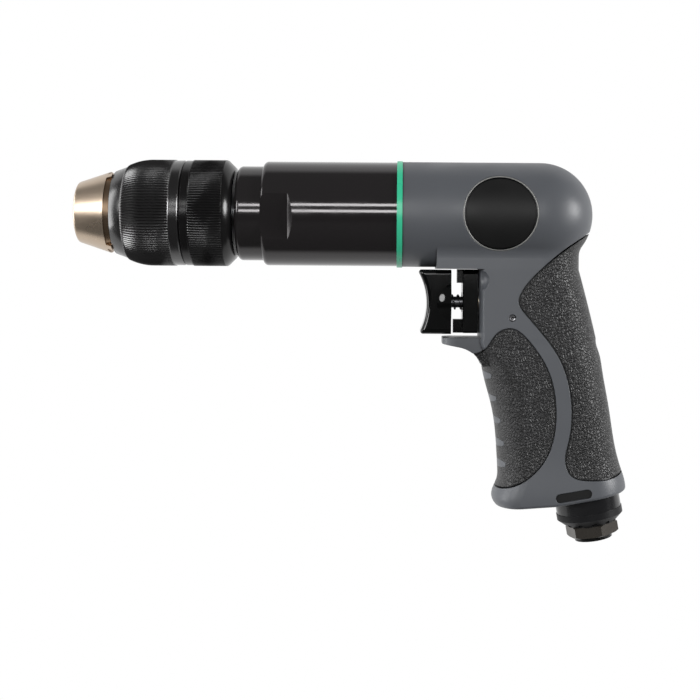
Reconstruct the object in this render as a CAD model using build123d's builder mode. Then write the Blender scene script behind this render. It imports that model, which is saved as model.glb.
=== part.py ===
from build123d import *
from math import acos, cos, degrees, pi, radians, sin, tan
import os

# A reversible air drill with a pistol grip and a 13 mm keyless chuck, in millimetres.
# The origin is on the drilling axis at the nose face of the chuck. +X runs back along
# the tool, +Z is up and -Y is the side that faces the viewer.

# Clearances that neighbouring pieces share
slip = 0.05
running = 0.1
end_play = 0.2

# Chuck
nose_radius = 12.3
nose_angle = 18.4
nose_length = 15.0
nose_rim_round = 1.2
nose_band_length = 2.1
nose_band_depth = 0.8
nose_band_arc = 110
nose_band_turn = 97.5
neck_step = 1.1
chuck_bore_radius = 6.75
chuck_bore_depth = 33.0
chuck_radius = 21.73
sleeve_length = 28.5
sleeve_lip_length = 8.5
sleeve_front_radius = 17.5
sleeve_cone_angle = 20.5
sleeve_crown_radius = 22.0
nut_radius = 19.0
nut_length = 7.0
nut_groove_depth = 0.4
thrust_ball_radius = 0.8
thrust_ball_count = 30
thrust_race_thickness = 1.6
rear_ring_length = 20.5
rear_ring_seat = 17.0
rear_ring_round = 3.4
jaw_count = 3
jaw_turn = 172.5
jaw_radius = 3.5
jaw_angle = 16.5
jaw_length = 33.0
jaw_tip_station = 7.0
jaw_tip_radius = 4.5
jaw_closed_radius = 0.75
jaw_grip_recess = 0.1
chuck_screw_radius = 3.0
chuck_screw_length = 22.0
screw_head_radius = 4.6
screw_head_length = 5.0
screw_socket_width = 5.0
screw_socket_depth = 3.0

# Front cap and spindle
cap_gap = 1.0
cap_radius = 19.3
cap_length = 10.4
cap_round = 2.0
cap_spigot_length = 6.7
spindle_radius = 8.5
spindle_shoulder_radius = 10.5
stub_radius = 6.35
stub_length = 16.0
seal_radius = 13.0
seal_length = 5.0
snap_ring_thickness = 1.0
snap_ring_height = 1.6
snap_ring_seat = 0.5
snap_ring_opening = 30
spindle_bearing_radius = 17.5
spindle_bearing_width = 10.0
spindle_ball_radius = 2.8
spindle_ball_count = 10

# Gear case and wrench flats
case_radius = 21.3
case_length = 54.4
case_round = 2.0
flat_across = 38.5
flat_length = 11.0
flat_turn = 5.5
flat_runout = 4.0
web_thickness = 2.5
spigot_radius = 19.0
spigot_length = 8.0

# Two equal planetary stages
gear_module = 0.6
pressure_angle = 20
sun_teeth = 15
planet_teeth = 18
planet_count = 3
gear_backlash = 0.1
tooth_depth_below_pitch = 0.75
planet_width = 9.0
planet_pin_radius = 2.0
output_plate_thickness = 5.0
carrier_plate_thickness = 4.0
carrier_gap = 1.0
planet_play = 0.5
plate_rim = 0.4
ring_gear_radius = 17.5
ring_gear_length = 34.0
spacer_wall = 2.5

# Accent ring and air motor
accent_ring_radius = 21.85
accent_ring_length = 2.2
end_plate_thickness = 9.5
cylinder_radius = 17.9
cylinder_length = 36.0
cylinder_bore_radius = 14.75
cylinder_offset = 1.6
rotor_radius = 13.0
rotor_shaft_radius = 6.0
rotor_end_gap = 0.15
rotor_bearing_radius = 14.0
rotor_bearing_width = 8.0
rotor_ball_radius = 2.3
rotor_ball_count = 9
end_plate_hole = 8.5
vane_count = 5
vane_thickness = 2.0
vane_height = 5.7
port_radius = 1.8
port_count = 5
port_pitch = 6.0
dowel_radius = 1.0
dowel_reach = 4.0
gasket_thickness = 1.0
gasket_wall = 4.0

# Housing. Places along it are measured from the centre of its rounded back.
housing_radius = 21.5
housing_straight = 56.4
block_front = -42.5
block_bottom = -22.2
blend_radius = 7.0
grip_front_round = 11.0
flat_front_round = 1.8
grip_top_rear = 16.1
base_height = -118.0
base_tilt = 4.2
base_station = -9.4
base_round = 1.2
pad_thickness = 1.5
pad_groove = 0.65
badge_station = -17.45
badge_radius = 15.0
badge_thickness = 1.2
scoop_station = -25.9
scoop_height = -26.7
scoop_radius = 4.3
scoop_spread = 15.4
plaque_length = 14.6
plaque_height = 3.6
plaque_bed = 15.9
plaque_station = 12.75
plaque_centre = -112.4

# Grip sections from the block down: height, front edge, rear edge, half width, front rounding.
# The first three stand behind the trigger, where the front is flat.
flat_sections = 3
grip_sections = (
    (block_bottom, -25.25, grip_top_rear, 15.3, flat_front_round),
    (-36.0, -25.2, 19.8, 15.1, flat_front_round),
    (-50.0, -25.05, 23.25, 15.0, flat_front_round),
    (-56.0, -24.45, 24.6, 15.0, grip_front_round / 2),
    (-63.0, -23.3, 26.0, 15.0, grip_front_round),
    (-79.0, -19.2, 28.9, 15.0, grip_front_round),
    (-94.0, -17.25, 31.35, 15.2, grip_front_round),
    (-103.0, -16.7, 33.8, 15.7, grip_front_round),
    (-108.5, -17.0, 35.5, 16.2, grip_front_round),
    (-114.0, -19.0, 35.8, 16.6, grip_front_round),
    (-118.0, -17.7, 35.7, 16.6, grip_front_round),
    (-122.0, -14.8, 35.2, 16.4, grip_front_round),
)

# Side view of the two rubber pads: the edge drawn on the grip, closed off outside it
rear_pad_line = (
    (25.2, -4.8),
    (7.9, -15.4),
    (-1.2, -23.2),
    (-7.6, -30.7),
    (-9.2, -35.2),
    (-6.2, -40.3),
    (8.55, -60.5),
    (12.2, -77.0),
    (11.1, -91.0),
    (9.8, -98.7),
    (12.0, -104.0),
    (19.4, -105.8),
    (27.35, -105.4),
    (41.0, -100.0),
)
rear_pad_corners = ((41.0, -4.8),)
front_pad_line = (
    (-20.8, -110.5),
    (-7.4, -106.5),
    (1.3, -97.4),
    (5.1, -80.0),
    (2.1, -63.4),
    (-5.8, -51.2),
    (-12.5, -46.4),
    (-17.6, -48.0),
    (-22.3, -54.3),
    (-30.8, -56.2),
)
front_pad_corners = ((-38.0, -56.2), (-38.0, -110.5))
rib_tips = ((-19.9, -65.4), (-17.8, -74.6), (-16.1, -83.5), (-14.7, -92.6), (-14.0, -101.0))
rib_length = 7.0
rib_tip_height = 1.8
rib_root_height = 6.5
rib_tip_round = 0.6

# Trigger, stem and spring
stem_height = -35.8
stem_radius = 2.3
stem_front = -44.6
stem_back = -0.6
trigger_front = -50.3
trigger_back = -36.4
trigger_top = -22.5
trigger_bottom = -48.6
trigger_hollow = 4.0
trigger_foot = 0.8
trigger_half_width = 9.5
trigger_skirt = 1.7
trigger_web_back = -40.2
trigger_corner_round = 1.1
trigger_edge_round = 2.0
dome_radius = 7.85
dome_station = -34.45
dome_rise = 2.4
spring_front = -43.4
spring_wire_radius = 0.35
spring_coil_radius = 2.85
spring_turns = 4.5
spring_pocket_radius = 3.6
shelf_front = -39.8
shelf_top = -50.1
shelf_thickness = 2.5
shelf_turn = (-33.0, -53.9)
shelf_root = (-23.6, -61.5)
shelf_half_width = 10.5
shelf_corner_round = 5.0

# Reversing lever and valves
lever_front = -31.75
lever_back = -25.5
lever_radius = 13.5
lever_foot = 12.5
lever_half_width = 7.0
knob_front = -33.9
tab_front = -35.45
knob_height = 5.6
knob_half_width = 2.5
lever_edge_round = 0.6
bushing_radius = 7.0
bushing_front = -25.2
bushing_back = -0.8
bushing_end_wall = 3.6
reverse_valve_radius = 4.2
o_ring_section = 0.42
o_ring_stations = (-21.0, -7.0)
chamber_radius = 6.0
chamber_back = 14.0
throttle_pilot_radius = 2.0
throttle_head_radius = 4.6
throttle_head_front = 1.0
throttle_head_back = 4.0
throttle_guide_length = 3.0
throttle_spring_turns = 4.5
throttle_wire_radius = 0.3
throttle_coil_radius = 2.5
retaining_pin_radius = 1.4
retaining_pin_station = -12.1
retaining_pin_height = -41.7
retaining_pin_half_length = 14.9
valve_port_stations = (-17.0, -11.5)
valve_port_radius = 1.8

# Air inlet and exhaust, along the inlet axis from the base
inlet_station = 20.0
inlet_height = -114.4
inlet_tilt = 10.0
collar_radius = 13.2
collar_height = 5.9
collar_spigot_radius = 10.5
collar_spigot_height = 4.0
collar_wall = 1.5
ring_radius = 13.45
ring_height = 2.6
ring_taper_height = 3.1
ring_taper_radius = 9.9
hex_width = 18.6
hex_height = 4.5
hex_turn = 47
hex_chamfer = 1.0
rim_radius = 7.6
rim_height = 1.8
inlet_spigot_radius = 7.4
inlet_spigot_depth = 14.0
inlet_thread_radius = 5.7
inlet_thread_depth = 13.5
inlet_passage_radius = 4.0
screen_radius = 5.15
screen_thickness = 0.6
screen_hole_radius = 0.5
screen_pitch = 1.5
screen_rows = 5
exhaust_hole_radius = 1.1
exhaust_hole_count = 12
vent_hole_radius = 0.9
exhaust_duct_radius = 2.2
duct_station = -10.0
duct_top_spread = 11.0
duct_top_height = -14.0
duct_foot_lead = 5.5
duct_foot_spread = 8.0

# Stations worked out along the drilling axis
nose_end_radius = nose_radius + nose_length * tan(radians(nose_angle))
neck_radius = nose_end_radius - neck_step
sleeve_front = nose_length + end_play
sleeve_back = sleeve_front + sleeve_length
nut_front = sleeve_front + sleeve_lip_length
nut_back = nut_front + nut_length
ball_station = nut_back + slip + thrust_ball_radius
race_front = ball_station + thrust_ball_radius + slip
flange_front = race_front + thrust_race_thickness
rear_ring_front = sleeve_back + end_play
chuck_back = rear_ring_front + rear_ring_length
stub_front = chuck_back - stub_length
sleeve_bore = nut_radius + slip
flange_radius = sleeve_bore - running
cap_front = chuck_back + cap_gap
case_front = cap_front + cap_length
case_back = case_front + case_length
bearing_front = case_front + cap_spigot_length + slip
bearing_back = bearing_front + spindle_bearing_width
web_back = bearing_back + web_thickness
output_plate_front = web_back + carrier_gap
output_plate_back = output_plate_front + output_plate_thickness
output_planet_front = output_plate_back + planet_play
output_planet_back = output_planet_front + planet_width
carrier_front = output_planet_back + planet_play
carrier_back = carrier_front + carrier_plate_thickness
input_planet_front = carrier_back + planet_play
input_planet_back = input_planet_front + planet_width
ring_gear_back = web_back + ring_gear_length
motor_front = case_back + spigot_length
cylinder_front = motor_front + end_plate_thickness
cylinder_back = cylinder_front + cylinder_length
motor_back = cylinder_back + end_plate_thickness
motor_bore_end = motor_back + gasket_thickness
motor_bore_radius = cylinder_radius + 2 * slip
housing_front = case_back + accent_ring_length
back_centre = housing_front + housing_straight

# Gear sizes
ring_teeth = sun_teeth + 2 * planet_teeth
sun_pitch = gear_module * sun_teeth / 2
planet_pitch = gear_module * planet_teeth / 2
ring_pitch = gear_module * ring_teeth / 2
planet_centre = sun_pitch + planet_pitch
even_tooth = pi * gear_module / 2
plate_radius = ring_pitch - gear_module - plate_rim

# Planes along the three axes of the tool, each with its own axis as local X
tool_frame = Plane.XZ
handle_frame = Plane(origin=(back_centre, 0, 0), x_dir=(1, 0, 0), z_dir=(0, -1, 0))
stem_frame = Plane(origin=(back_centre, 0, stem_height), x_dir=(1, 0, 0), z_dir=(0, -1, 0))
inlet_down = (sin(radians(inlet_tilt)), 0, -cos(radians(inlet_tilt)))
inlet_frame = Plane(
    origin=(back_centre + inlet_station, 0, inlet_height), x_dir=inlet_down, z_dir=(0, -1, 0)
)

os.makedirs("parts", exist_ok=True)


def keep(piece, name):
    """Label a finished piece and write it to its own file."""
    piece.part.label = name
    export_step(piece.part, f"parts/{name}.step")


def turn(*corners, frame=tool_frame, mode=Mode.ADD):
    """Turn a closed profile of (station, radius) corners about the local X axis of a frame."""
    with BuildSketch(frame) as profile:
        with BuildLine():
            Polyline(*corners, close=True)
        make_face()
    revolve(profile.sketch, axis=Axis(frame.origin, frame.x_dir), mode=mode)


def tube(start, end, inner, outer, frame=tool_frame, mode=Mode.ADD):
    """A plain ring between two stations."""
    turn((start, inner), (start, outer), (end, outer), (end, inner), frame=frame, mode=mode)


def cross_section(station, frame=tool_frame):
    """The plane square to an axis at a station along it."""
    return Plane(
        origin=frame.from_local_coords((station, 0, 0)), x_dir=frame.z_dir, z_dir=frame.x_dir
    )


def axial_plane(angle):
    """A plane that holds the drilling axis and the radius at an angle from straight up."""
    return Plane(
        origin=(0, 0, 0),
        x_dir=(1, 0, 0),
        z_dir=(0, -cos(radians(angle)), sin(radians(angle))),
    )


def polar(radius, angle):
    """A sketch point at a radius and an angle in degrees."""
    return (radius * cos(radians(angle)), radius * sin(radians(angle)))


def involute(angle):
    """The involute function of an angle in radians."""
    return tan(angle) - angle


def half_tooth_angle(radius, teeth, thickness):
    """Half the angle of a tooth at a radius, in degrees, from its thickness at the pitch line."""
    pitch_radius = gear_module * teeth / 2
    base_radius = pitch_radius * cos(radians(pressure_angle))
    flank = acos(base_radius / max(radius, base_radius))
    return degrees(thickness / (2 * pitch_radius) + involute(radians(pressure_angle)) - involute(flank))


def toothed_face(plane, teeth, root, tip, thickness, first_tooth=0):
    """A star of involute teeth between a root and a tip radius, one tooth at the first angle."""
    middle = (root + tip) / 2
    pitch = 360 / teeth
    with BuildSketch(plane) as star:
        with BuildLine():
            for tooth in range(teeth):
                centre = first_tooth + tooth * pitch
                low = half_tooth_angle(root, teeth, thickness)
                half = half_tooth_angle(middle, teeth, thickness)
                high = half_tooth_angle(tip, teeth, thickness)
                ThreePointArc(
                    polar(root, centre - low), polar(middle, centre - half), polar(tip, centre - high)
                )
                ThreePointArc(polar(tip, centre - high), polar(tip, centre), polar(tip, centre + high))
                ThreePointArc(
                    polar(tip, centre + high), polar(middle, centre + half), polar(root, centre + low)
                )
                ThreePointArc(
                    polar(root, centre + low),
                    polar(root, centre + pitch / 2),
                    polar(root, centre + pitch - low),
                )
        make_face()
    return star.sketch


def gear_plane(station, angle=None):
    """The plane of a gear on the drilling axis, or of the planet at an angle round it."""
    reach = 0 if angle is None else planet_centre
    across, up = polar(reach, angle or 0)
    return Plane(origin=(station, across, up), x_dir=(0, 1, 0), z_dir=(1, 0, 0))


def planet_angle(planet):
    """The angle of a planet's pin from +Y."""
    return 360 / planet_count * planet


def coil_path(start, end, coil_radius, turns, frame):
    """A helix about the local X axis of a frame, as biarcs of a quarter turn each."""
    steps = round(turns * 4)
    rise = (end - start) / steps

    def place(step):
        across, up = polar(coil_radius, step * 90)
        return frame.from_local_coords((start + rise * step, across, up))

    def heading(step):
        across, up = polar(coil_radius * pi / 2, step * 90 + 90)
        return (frame.from_local_coords((rise, across, up)) - frame.origin).normalized()

    with BuildLine() as path:
        for step in range(steps):
            first, last = place(step), place(step + 1)
            out, back = heading(step), heading(step + 1)
            span = last - first
            lean = span.dot(out + back)
            spread = 2 * (1 - out.dot(back))
            reach = (-lean + (lean**2 + spread * span.dot(span)) ** 0.5) / spread
            joint = (first + last + (out - back) * reach) / 2
            TangentArc(first, joint, tangent=out)
            TangentArc(joint, last, tangent=span - (out + back) * reach)
    return path.wire()


def coil_gap(path, wire_radius, turns):
    """The least gap between one turn of a coil and the next, measured on points."""
    per_turn = 24
    count = round(turns * per_turn)
    points = [path.position_at(step / count) for step in range(count + 1)]
    nearest = min(
        (points[far] - points[near]).length
        for near in range(count)
        for far in range(near + per_turn // 2, count + 1)
    )
    return nearest - 2 * wire_radius


# The chuck body carries the jaws in three slanted bores
def jaw_axis_radius(station):
    """How far a jaw's own axis is from the drilling axis at a station."""
    return jaw_tip_radius + (station - jaw_tip_station) * tan(radians(jaw_angle))


def jaw_edge(station):
    """The outermost radius of a jaw at a station."""
    return jaw_axis_radius(station) + jaw_radius / cos(radians(jaw_angle))


def jaw_plane(angle, along=0):
    """The plane square to a jaw's axis, some way along it from the tip."""
    radius_at = jaw_tip_radius + along * sin(radians(jaw_angle))
    station = jaw_tip_station + along * cos(radians(jaw_angle))
    slope = axial_plane(angle)
    heading = slope.from_local_coords((cos(radians(jaw_angle)), sin(radians(jaw_angle)), 0))
    return Plane(origin=slope.from_local_coords((station, radius_at, 0)), z_dir=heading)


jaw_angles = [jaw_turn + 360 / jaw_count * jaw for jaw in range(jaw_count)]
jaw_bore_radius = jaw_radius + running
screw_seat = chuck_bore_depth + screw_head_length + end_play
groove_front = nut_front - end_play
groove_bottom = jaw_edge(nut_front) + running - nut_groove_depth

with BuildPart() as chuck_body:
    turn(
        (0, chuck_bore_radius),
        (0, nose_radius),
        (nose_length, nose_end_radius),
        (nose_length, neck_radius),
        (groove_front, neck_radius),
        (groove_front, groove_bottom),
        (flange_front, groove_bottom),
        (flange_front, flange_radius),
        (rear_ring_front, flange_radius),
        (rear_ring_front, rear_ring_seat),
        (chuck_back, rear_ring_seat),
        (chuck_back, stub_radius + slip),
        (stub_front, stub_radius + slip),
        (stub_front, chuck_screw_radius + running),
        (screw_seat, chuck_screw_radius + running),
        (screw_seat, screw_head_radius + running),
        (chuck_bore_depth, screw_head_radius + running),
        (chuck_bore_depth, chuck_bore_radius),
    )
    rim = chuck_body.edges().filter_by(GeomType.CIRCLE).group_by(Axis.X)[0].sort_by(SortBy.RADIUS)[-1]
    fillet(rim, nose_rim_round)
    for sector in range(jaw_count):
        with BuildSketch(axial_plane(jaw_angles[sector] + nose_band_turn - nose_band_arc / 2)) as band:
            with BuildLine():
                Polyline(
                    (nose_length - nose_band_length, nose_end_radius - nose_band_depth - neck_step / 2),
                    (nose_length - nose_band_length, nose_end_radius + 1),
                    (nose_length + 1, nose_end_radius + 1),
                    (nose_length + 1, nose_end_radius - nose_band_depth - neck_step / 2),
                    close=True,
                )
            make_face()
        revolve(axis=Axis.X, revolution_arc=-nose_band_arc, mode=Mode.SUBTRACT)
    for angle in jaw_angles:
        with BuildSketch(jaw_plane(angle, -3 * jaw_radius)):
            Circle(jaw_bore_radius)
        extrude(amount=jaw_length + 3 * jaw_radius + end_play, mode=Mode.SUBTRACT)
keep(chuck_body, "chuck_body")

# Each jaw is a round rod with a flat grip face and two flanks that meet its neighbours
grip_radius = chuck_bore_radius + jaw_grip_recess
wedge_apex = grip_radius - jaw_closed_radius + running
wedge_reach = 3 * jaw_radius
grip_half_width = (grip_radius - wedge_apex) * tan(pi / jaw_count)
for jaw, angle in enumerate(jaw_angles, start=1):
    with BuildPart() as chuck_jaw:
        with BuildSketch(jaw_plane(angle)):
            Circle(jaw_radius)
        extrude(amount=jaw_length)
        with BuildSketch(Plane(origin=(-jaw_length, 0, 0), x_dir=axial_plane(angle).z_dir, z_dir=(1, 0, 0))):
            with BuildLine():
                Polyline(
                    (-wedge_reach, -wedge_reach),
                    (wedge_reach, -wedge_reach),
                    (wedge_reach, wedge_apex + wedge_reach / tan(pi / jaw_count)),
                    (grip_half_width, grip_radius),
                    (-grip_half_width, grip_radius),
                    (-wedge_reach, wedge_apex + wedge_reach / tan(pi / jaw_count)),
                    close=True,
                )
            make_face()
        extrude(amount=3 * jaw_length, mode=Mode.SUBTRACT)
    keep(chuck_jaw, f"chuck_jaw_{jaw}")

# The nut turns with the sleeve, and its coned thread drives the jaws
with BuildPart() as chuck_nut:
    turn(
        (nut_front, jaw_edge(nut_front) + running),
        (nut_front, nut_radius),
        (nut_back, nut_radius),
        (nut_back, jaw_edge(nut_back) + running),
    )
keep(chuck_nut, "chuck_nut")

with BuildPart() as chuck_thrust_race:
    tube(race_front, flange_front, jaw_edge(flange_front) + running, flange_radius)
keep(chuck_thrust_race, "chuck_thrust_race")

with BuildPart(cross_section(ball_station)) as chuck_thrust_balls:
    with PolarLocations(flange_radius - thrust_ball_radius - slip, thrust_ball_count):
        Sphere(thrust_ball_radius)
keep(chuck_thrust_balls, "chuck_thrust_balls")

cone_end = sleeve_front + (chuck_radius - sleeve_front_radius) / tan(radians(sleeve_cone_angle))
with BuildPart() as chuck_sleeve:
    with BuildSketch(tool_frame) as sleeve_profile:
        with BuildLine():
            Polyline(
                (sleeve_front, neck_radius + running),
                (sleeve_front, sleeve_front_radius),
                (cone_end, chuck_radius),
                (sleeve_back, chuck_radius),
                (sleeve_back, sleeve_bore),
                (nut_front, sleeve_bore),
                (nut_front, neck_radius + running),
                close=True,
            )
        make_face()
        crown = sleeve_profile.vertices().sort_by_distance((cone_end, chuck_radius))[0]
        fillet(crown, sleeve_crown_radius)
    revolve(axis=Axis.X)
keep(chuck_sleeve, "chuck_sleeve")

with BuildPart() as chuck_rear_ring:
    tube(rear_ring_front, chuck_back, rear_ring_seat + slip, chuck_radius)
    back_rim = chuck_rear_ring.edges().group_by(Axis.X)[-1].sort_by(SortBy.RADIUS)[-1]
    fillet(back_rim, rear_ring_round)
keep(chuck_rear_ring, "chuck_rear_ring")

with BuildPart() as chuck_screw:
    turn(
        (screw_seat - screw_head_length, 0),
        (screw_seat - screw_head_length, screw_head_radius),
        (screw_seat, screw_head_radius),
        (screw_seat, chuck_screw_radius),
        (screw_seat + chuck_screw_length, chuck_screw_radius),
        (screw_seat + chuck_screw_length, 0),
    )
    with BuildSketch(cross_section(screw_seat - screw_head_length)):
        RegularPolygon(screw_socket_width / 2, 6, major_radius=False)
    extrude(amount=screw_socket_depth, mode=Mode.SUBTRACT)
keep(chuck_screw, "chuck_screw")

# The spindle ends in the plate that carries the output planets
snap_ring_front = bearing_front - snap_ring_thickness
snap_ring_inner = spindle_radius - snap_ring_seat
screw_hole_end = screw_seat + chuck_screw_length + end_play
with BuildPart() as spindle:
    turn(
        (stub_front + end_play, chuck_screw_radius + slip),
        (stub_front + end_play, stub_radius),
        (chuck_back, stub_radius),
        (chuck_back, spindle_radius),
        (snap_ring_front, spindle_radius),
        (snap_ring_front, snap_ring_inner),
        (bearing_front, snap_ring_inner),
        (bearing_front, spindle_radius),
        (bearing_back, spindle_radius),
        (bearing_back, spindle_shoulder_radius),
        (output_plate_front, spindle_shoulder_radius),
        (output_plate_front, plate_radius),
        (output_plate_back, plate_radius),
        (output_plate_back, 0),
        (screw_hole_end, 0),
        (screw_hole_end, chuck_screw_radius + slip),
    )
    with BuildSketch(gear_plane(output_plate_front)):
        with PolarLocations(planet_centre, planet_count):
            Circle(planet_pin_radius + slip)
    extrude(amount=output_plate_thickness, mode=Mode.SUBTRACT)
keep(spindle, "spindle")

with BuildPart() as output_planet_pins:
    with BuildSketch(gear_plane(output_plate_front)):
        with PolarLocations(planet_centre, planet_count):
            Circle(planet_pin_radius)
    extrude(amount=output_planet_back - output_plate_front)
keep(output_planet_pins, "output_planet_pins")

with BuildPart() as spindle_snap_ring:
    with BuildSketch(cross_section(snap_ring_front)):
        Circle(snap_ring_inner + snap_ring_height)
        Circle(snap_ring_inner + slip, mode=Mode.SUBTRACT)
        with BuildLine():
            Polyline(
                (0, 0),
                polar(2 * spindle_radius, -snap_ring_opening / 2),
                polar(2 * spindle_radius, snap_ring_opening / 2),
                close=True,
            )
        make_face(mode=Mode.SUBTRACT)
    extrude(amount=snap_ring_thickness - slip)
keep(spindle_snap_ring, "spindle_snap_ring")

seal_front = case_front + cap_spigot_length - seal_length
with BuildPart() as spindle_seal:
    tube(seal_front + slip, seal_front + seal_length - snap_ring_thickness - end_play,
         spindle_radius + running, seal_radius - slip)
keep(spindle_seal, "spindle_seal")

case_bore = spindle_bearing_radius + slip
with BuildPart() as front_cap:
    turn(
        (cap_front, spindle_radius + end_play),
        (cap_front, cap_radius),
        (case_front, cap_radius),
        (case_front, spindle_bearing_radius),
        (case_front + cap_spigot_length, spindle_bearing_radius),
        (case_front + cap_spigot_length, seal_radius),
        (seal_front, seal_radius),
        (seal_front, spindle_radius + end_play),
    )
    front_rim = front_cap.edges().group_by(Axis.X)[0].sort_by(SortBy.RADIUS)[-1]
    fillet(front_rim, cap_round)
keep(front_cap, "front_cap")


def bearing_outer(front, width, bore, outside, ball_radius):
    """An outer race with a groove for its balls."""
    circle = (bore + outside) / 2
    tube(front, front + width, circle + ball_radius / 2, outside - slip)
    with Locations((front + width / 2, 0, 0)):
        Torus(circle, ball_radius + slip, rotation=(0, 90, 0), mode=Mode.SUBTRACT)


def bearing_inner(front, width, bore, outside, ball_radius):
    """An inner race with a groove for its balls."""
    circle = (bore + outside) / 2
    tube(front, front + width, bore + slip, circle - ball_radius / 2)
    with Locations((front + width / 2, 0, 0)):
        Torus(circle, ball_radius + slip, rotation=(0, 90, 0), mode=Mode.SUBTRACT)


spindle_bearing = (
    bearing_front, spindle_bearing_width, spindle_radius, spindle_bearing_radius, spindle_ball_radius
)
with BuildPart() as spindle_bearing_outer:
    bearing_outer(*spindle_bearing)
keep(spindle_bearing_outer, "spindle_bearing_outer")

with BuildPart() as spindle_bearing_inner:
    bearing_inner(*spindle_bearing)
keep(spindle_bearing_inner, "spindle_bearing_inner")

with BuildPart(cross_section(bearing_front + spindle_bearing_width / 2)) as spindle_bearing_balls:
    with PolarLocations((spindle_radius + spindle_bearing_radius) / 2, spindle_ball_count):
        Sphere(spindle_ball_radius)
keep(spindle_bearing_balls, "spindle_bearing_balls")

# The gear case has two wrench flats and screws into the housing with a spigot
gear_bore = ring_gear_radius + slip
with BuildPart() as gear_case:
    turn(
        (case_front, case_bore),
        (case_front, case_radius),
        (case_back, case_radius),
        (case_back, spigot_radius),
        (motor_front, spigot_radius),
        (motor_front, gear_bore),
        (web_back, gear_bore),
        (web_back, plate_radius + plate_rim),
        (bearing_back, plate_radius + plate_rim),
        (bearing_back, case_bore),
    )
    case_rim = gear_case.edges().group_by(Axis.X)[0].sort_by(SortBy.RADIUS)[-1]
    fillet(case_rim, case_round)
    for angle in (90 - flat_turn, 270 - flat_turn):
        with BuildSketch(axial_plane(angle)):
            with BuildLine():
                Polyline(
                    (case_front, flat_across / 2),
                    (case_front + flat_length, flat_across / 2),
                    (case_front + flat_length + flat_runout, flat_across / 2 + flat_runout),
                    (case_front, flat_across / 2 + flat_runout),
                    close=True,
                )
            make_face()
        extrude(amount=case_radius, both=True, mode=Mode.SUBTRACT)
keep(gear_case, "gear_case")

# Ring gear and the two stages of planets
with BuildPart() as ring_gear:
    with BuildSketch(gear_plane(web_back)):
        Circle(ring_gear_radius)
    extrude(amount=ring_gear_length)
    spaces = toothed_face(
        gear_plane(web_back),
        ring_teeth,
        ring_pitch - gear_module,
        ring_pitch + tooth_depth_below_pitch,
        even_tooth + gear_backlash,
        first_tooth=180 / ring_teeth,
    )
    extrude(spaces, amount=ring_gear_length, mode=Mode.SUBTRACT)
keep(ring_gear, "ring_gear")


def planet_gear(front, planet):
    """A planet on its pin, with a gap between teeth turned to the sun and to the ring."""
    plane = gear_plane(front, planet_angle(planet))
    teeth = toothed_face(
        plane,
        planet_teeth,
        planet_pitch - tooth_depth_below_pitch,
        planet_pitch + gear_module,
        even_tooth - gear_backlash,
        first_tooth=planet_angle(planet) + 180 - 180 / planet_teeth,
    )
    extrude(teeth, amount=planet_width)
    with BuildSketch(plane) as bore:
        Circle(planet_pin_radius + running)
    extrude(bore.sketch, amount=planet_width, mode=Mode.SUBTRACT)


def sun_face(station):
    """The toothed face of a sun gear."""
    return toothed_face(
        gear_plane(station),
        sun_teeth,
        sun_pitch - tooth_depth_below_pitch,
        sun_pitch + gear_module,
        even_tooth - gear_backlash,
    )


for planet in range(planet_count):
    with BuildPart() as output_planet:
        planet_gear(output_planet_front, planet)
    keep(output_planet, f"output_planet_{planet + 1}")
    with BuildPart() as input_planet:
        planet_gear(input_planet_front, planet)
    keep(input_planet, f"input_planet_{planet + 1}")

with BuildPart() as planet_carrier:
    tube(carrier_front, carrier_back, 0, plate_radius)
    with BuildSketch(gear_plane(carrier_front)):
        with PolarLocations(planet_centre, planet_count):
            Circle(planet_pin_radius + slip)
    extrude(amount=carrier_plate_thickness, mode=Mode.SUBTRACT)
    extrude(sun_face(output_planet_front), amount=carrier_front - output_planet_front)
keep(planet_carrier, "planet_carrier")

with BuildPart() as input_planet_pins:
    with BuildSketch(gear_plane(carrier_front + slip)):
        with PolarLocations(planet_centre, planet_count):
            Circle(planet_pin_radius)
    extrude(amount=input_planet_back - carrier_front)
keep(input_planet_pins, "input_planet_pins")

with BuildPart() as gear_spacer:
    tube(ring_gear_back, motor_front, ring_gear_radius - spacer_wall, ring_gear_radius)
keep(gear_spacer, "gear_spacer")

with BuildPart() as accent_ring:
    tube(case_back, housing_front, spigot_radius + slip, accent_ring_radius)
keep(accent_ring, "accent_ring")

# Air motor: a vaned rotor runs off centre in a cylinder between two end plates
dowel_circle = (cylinder_radius + cylinder_bore_radius - cylinder_offset) / 2


def dowel_hole(start, length):
    """The hole under the rotor that keeps cylinder and end plates in line."""
    with BuildSketch(gear_plane(start)) as hole:
        with Locations((0, -dowel_circle)):
            Circle(dowel_radius + slip)
    extrude(hole.sketch, amount=length, mode=Mode.SUBTRACT)


bearing_pocket = rotor_bearing_radius + slip
with BuildPart() as front_end_plate:
    turn(
        (motor_front, bearing_pocket),
        (motor_front, cylinder_radius),
        (cylinder_front, cylinder_radius),
        (cylinder_front, end_plate_hole),
        (motor_front + rotor_bearing_width, end_plate_hole),
        (motor_front + rotor_bearing_width, bearing_pocket),
    )
    dowel_hole(cylinder_front - dowel_reach, dowel_reach)
keep(front_end_plate, "front_end_plate")

with BuildPart() as rear_end_plate:
    turn(
        (cylinder_back, end_plate_hole),
        (cylinder_back, cylinder_radius),
        (motor_back, cylinder_radius),
        (motor_back, bearing_pocket),
        (motor_back - rotor_bearing_width, bearing_pocket),
        (motor_back - rotor_bearing_width, end_plate_hole),
    )
    dowel_hole(cylinder_back, dowel_reach)
keep(rear_end_plate, "rear_end_plate")

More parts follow.
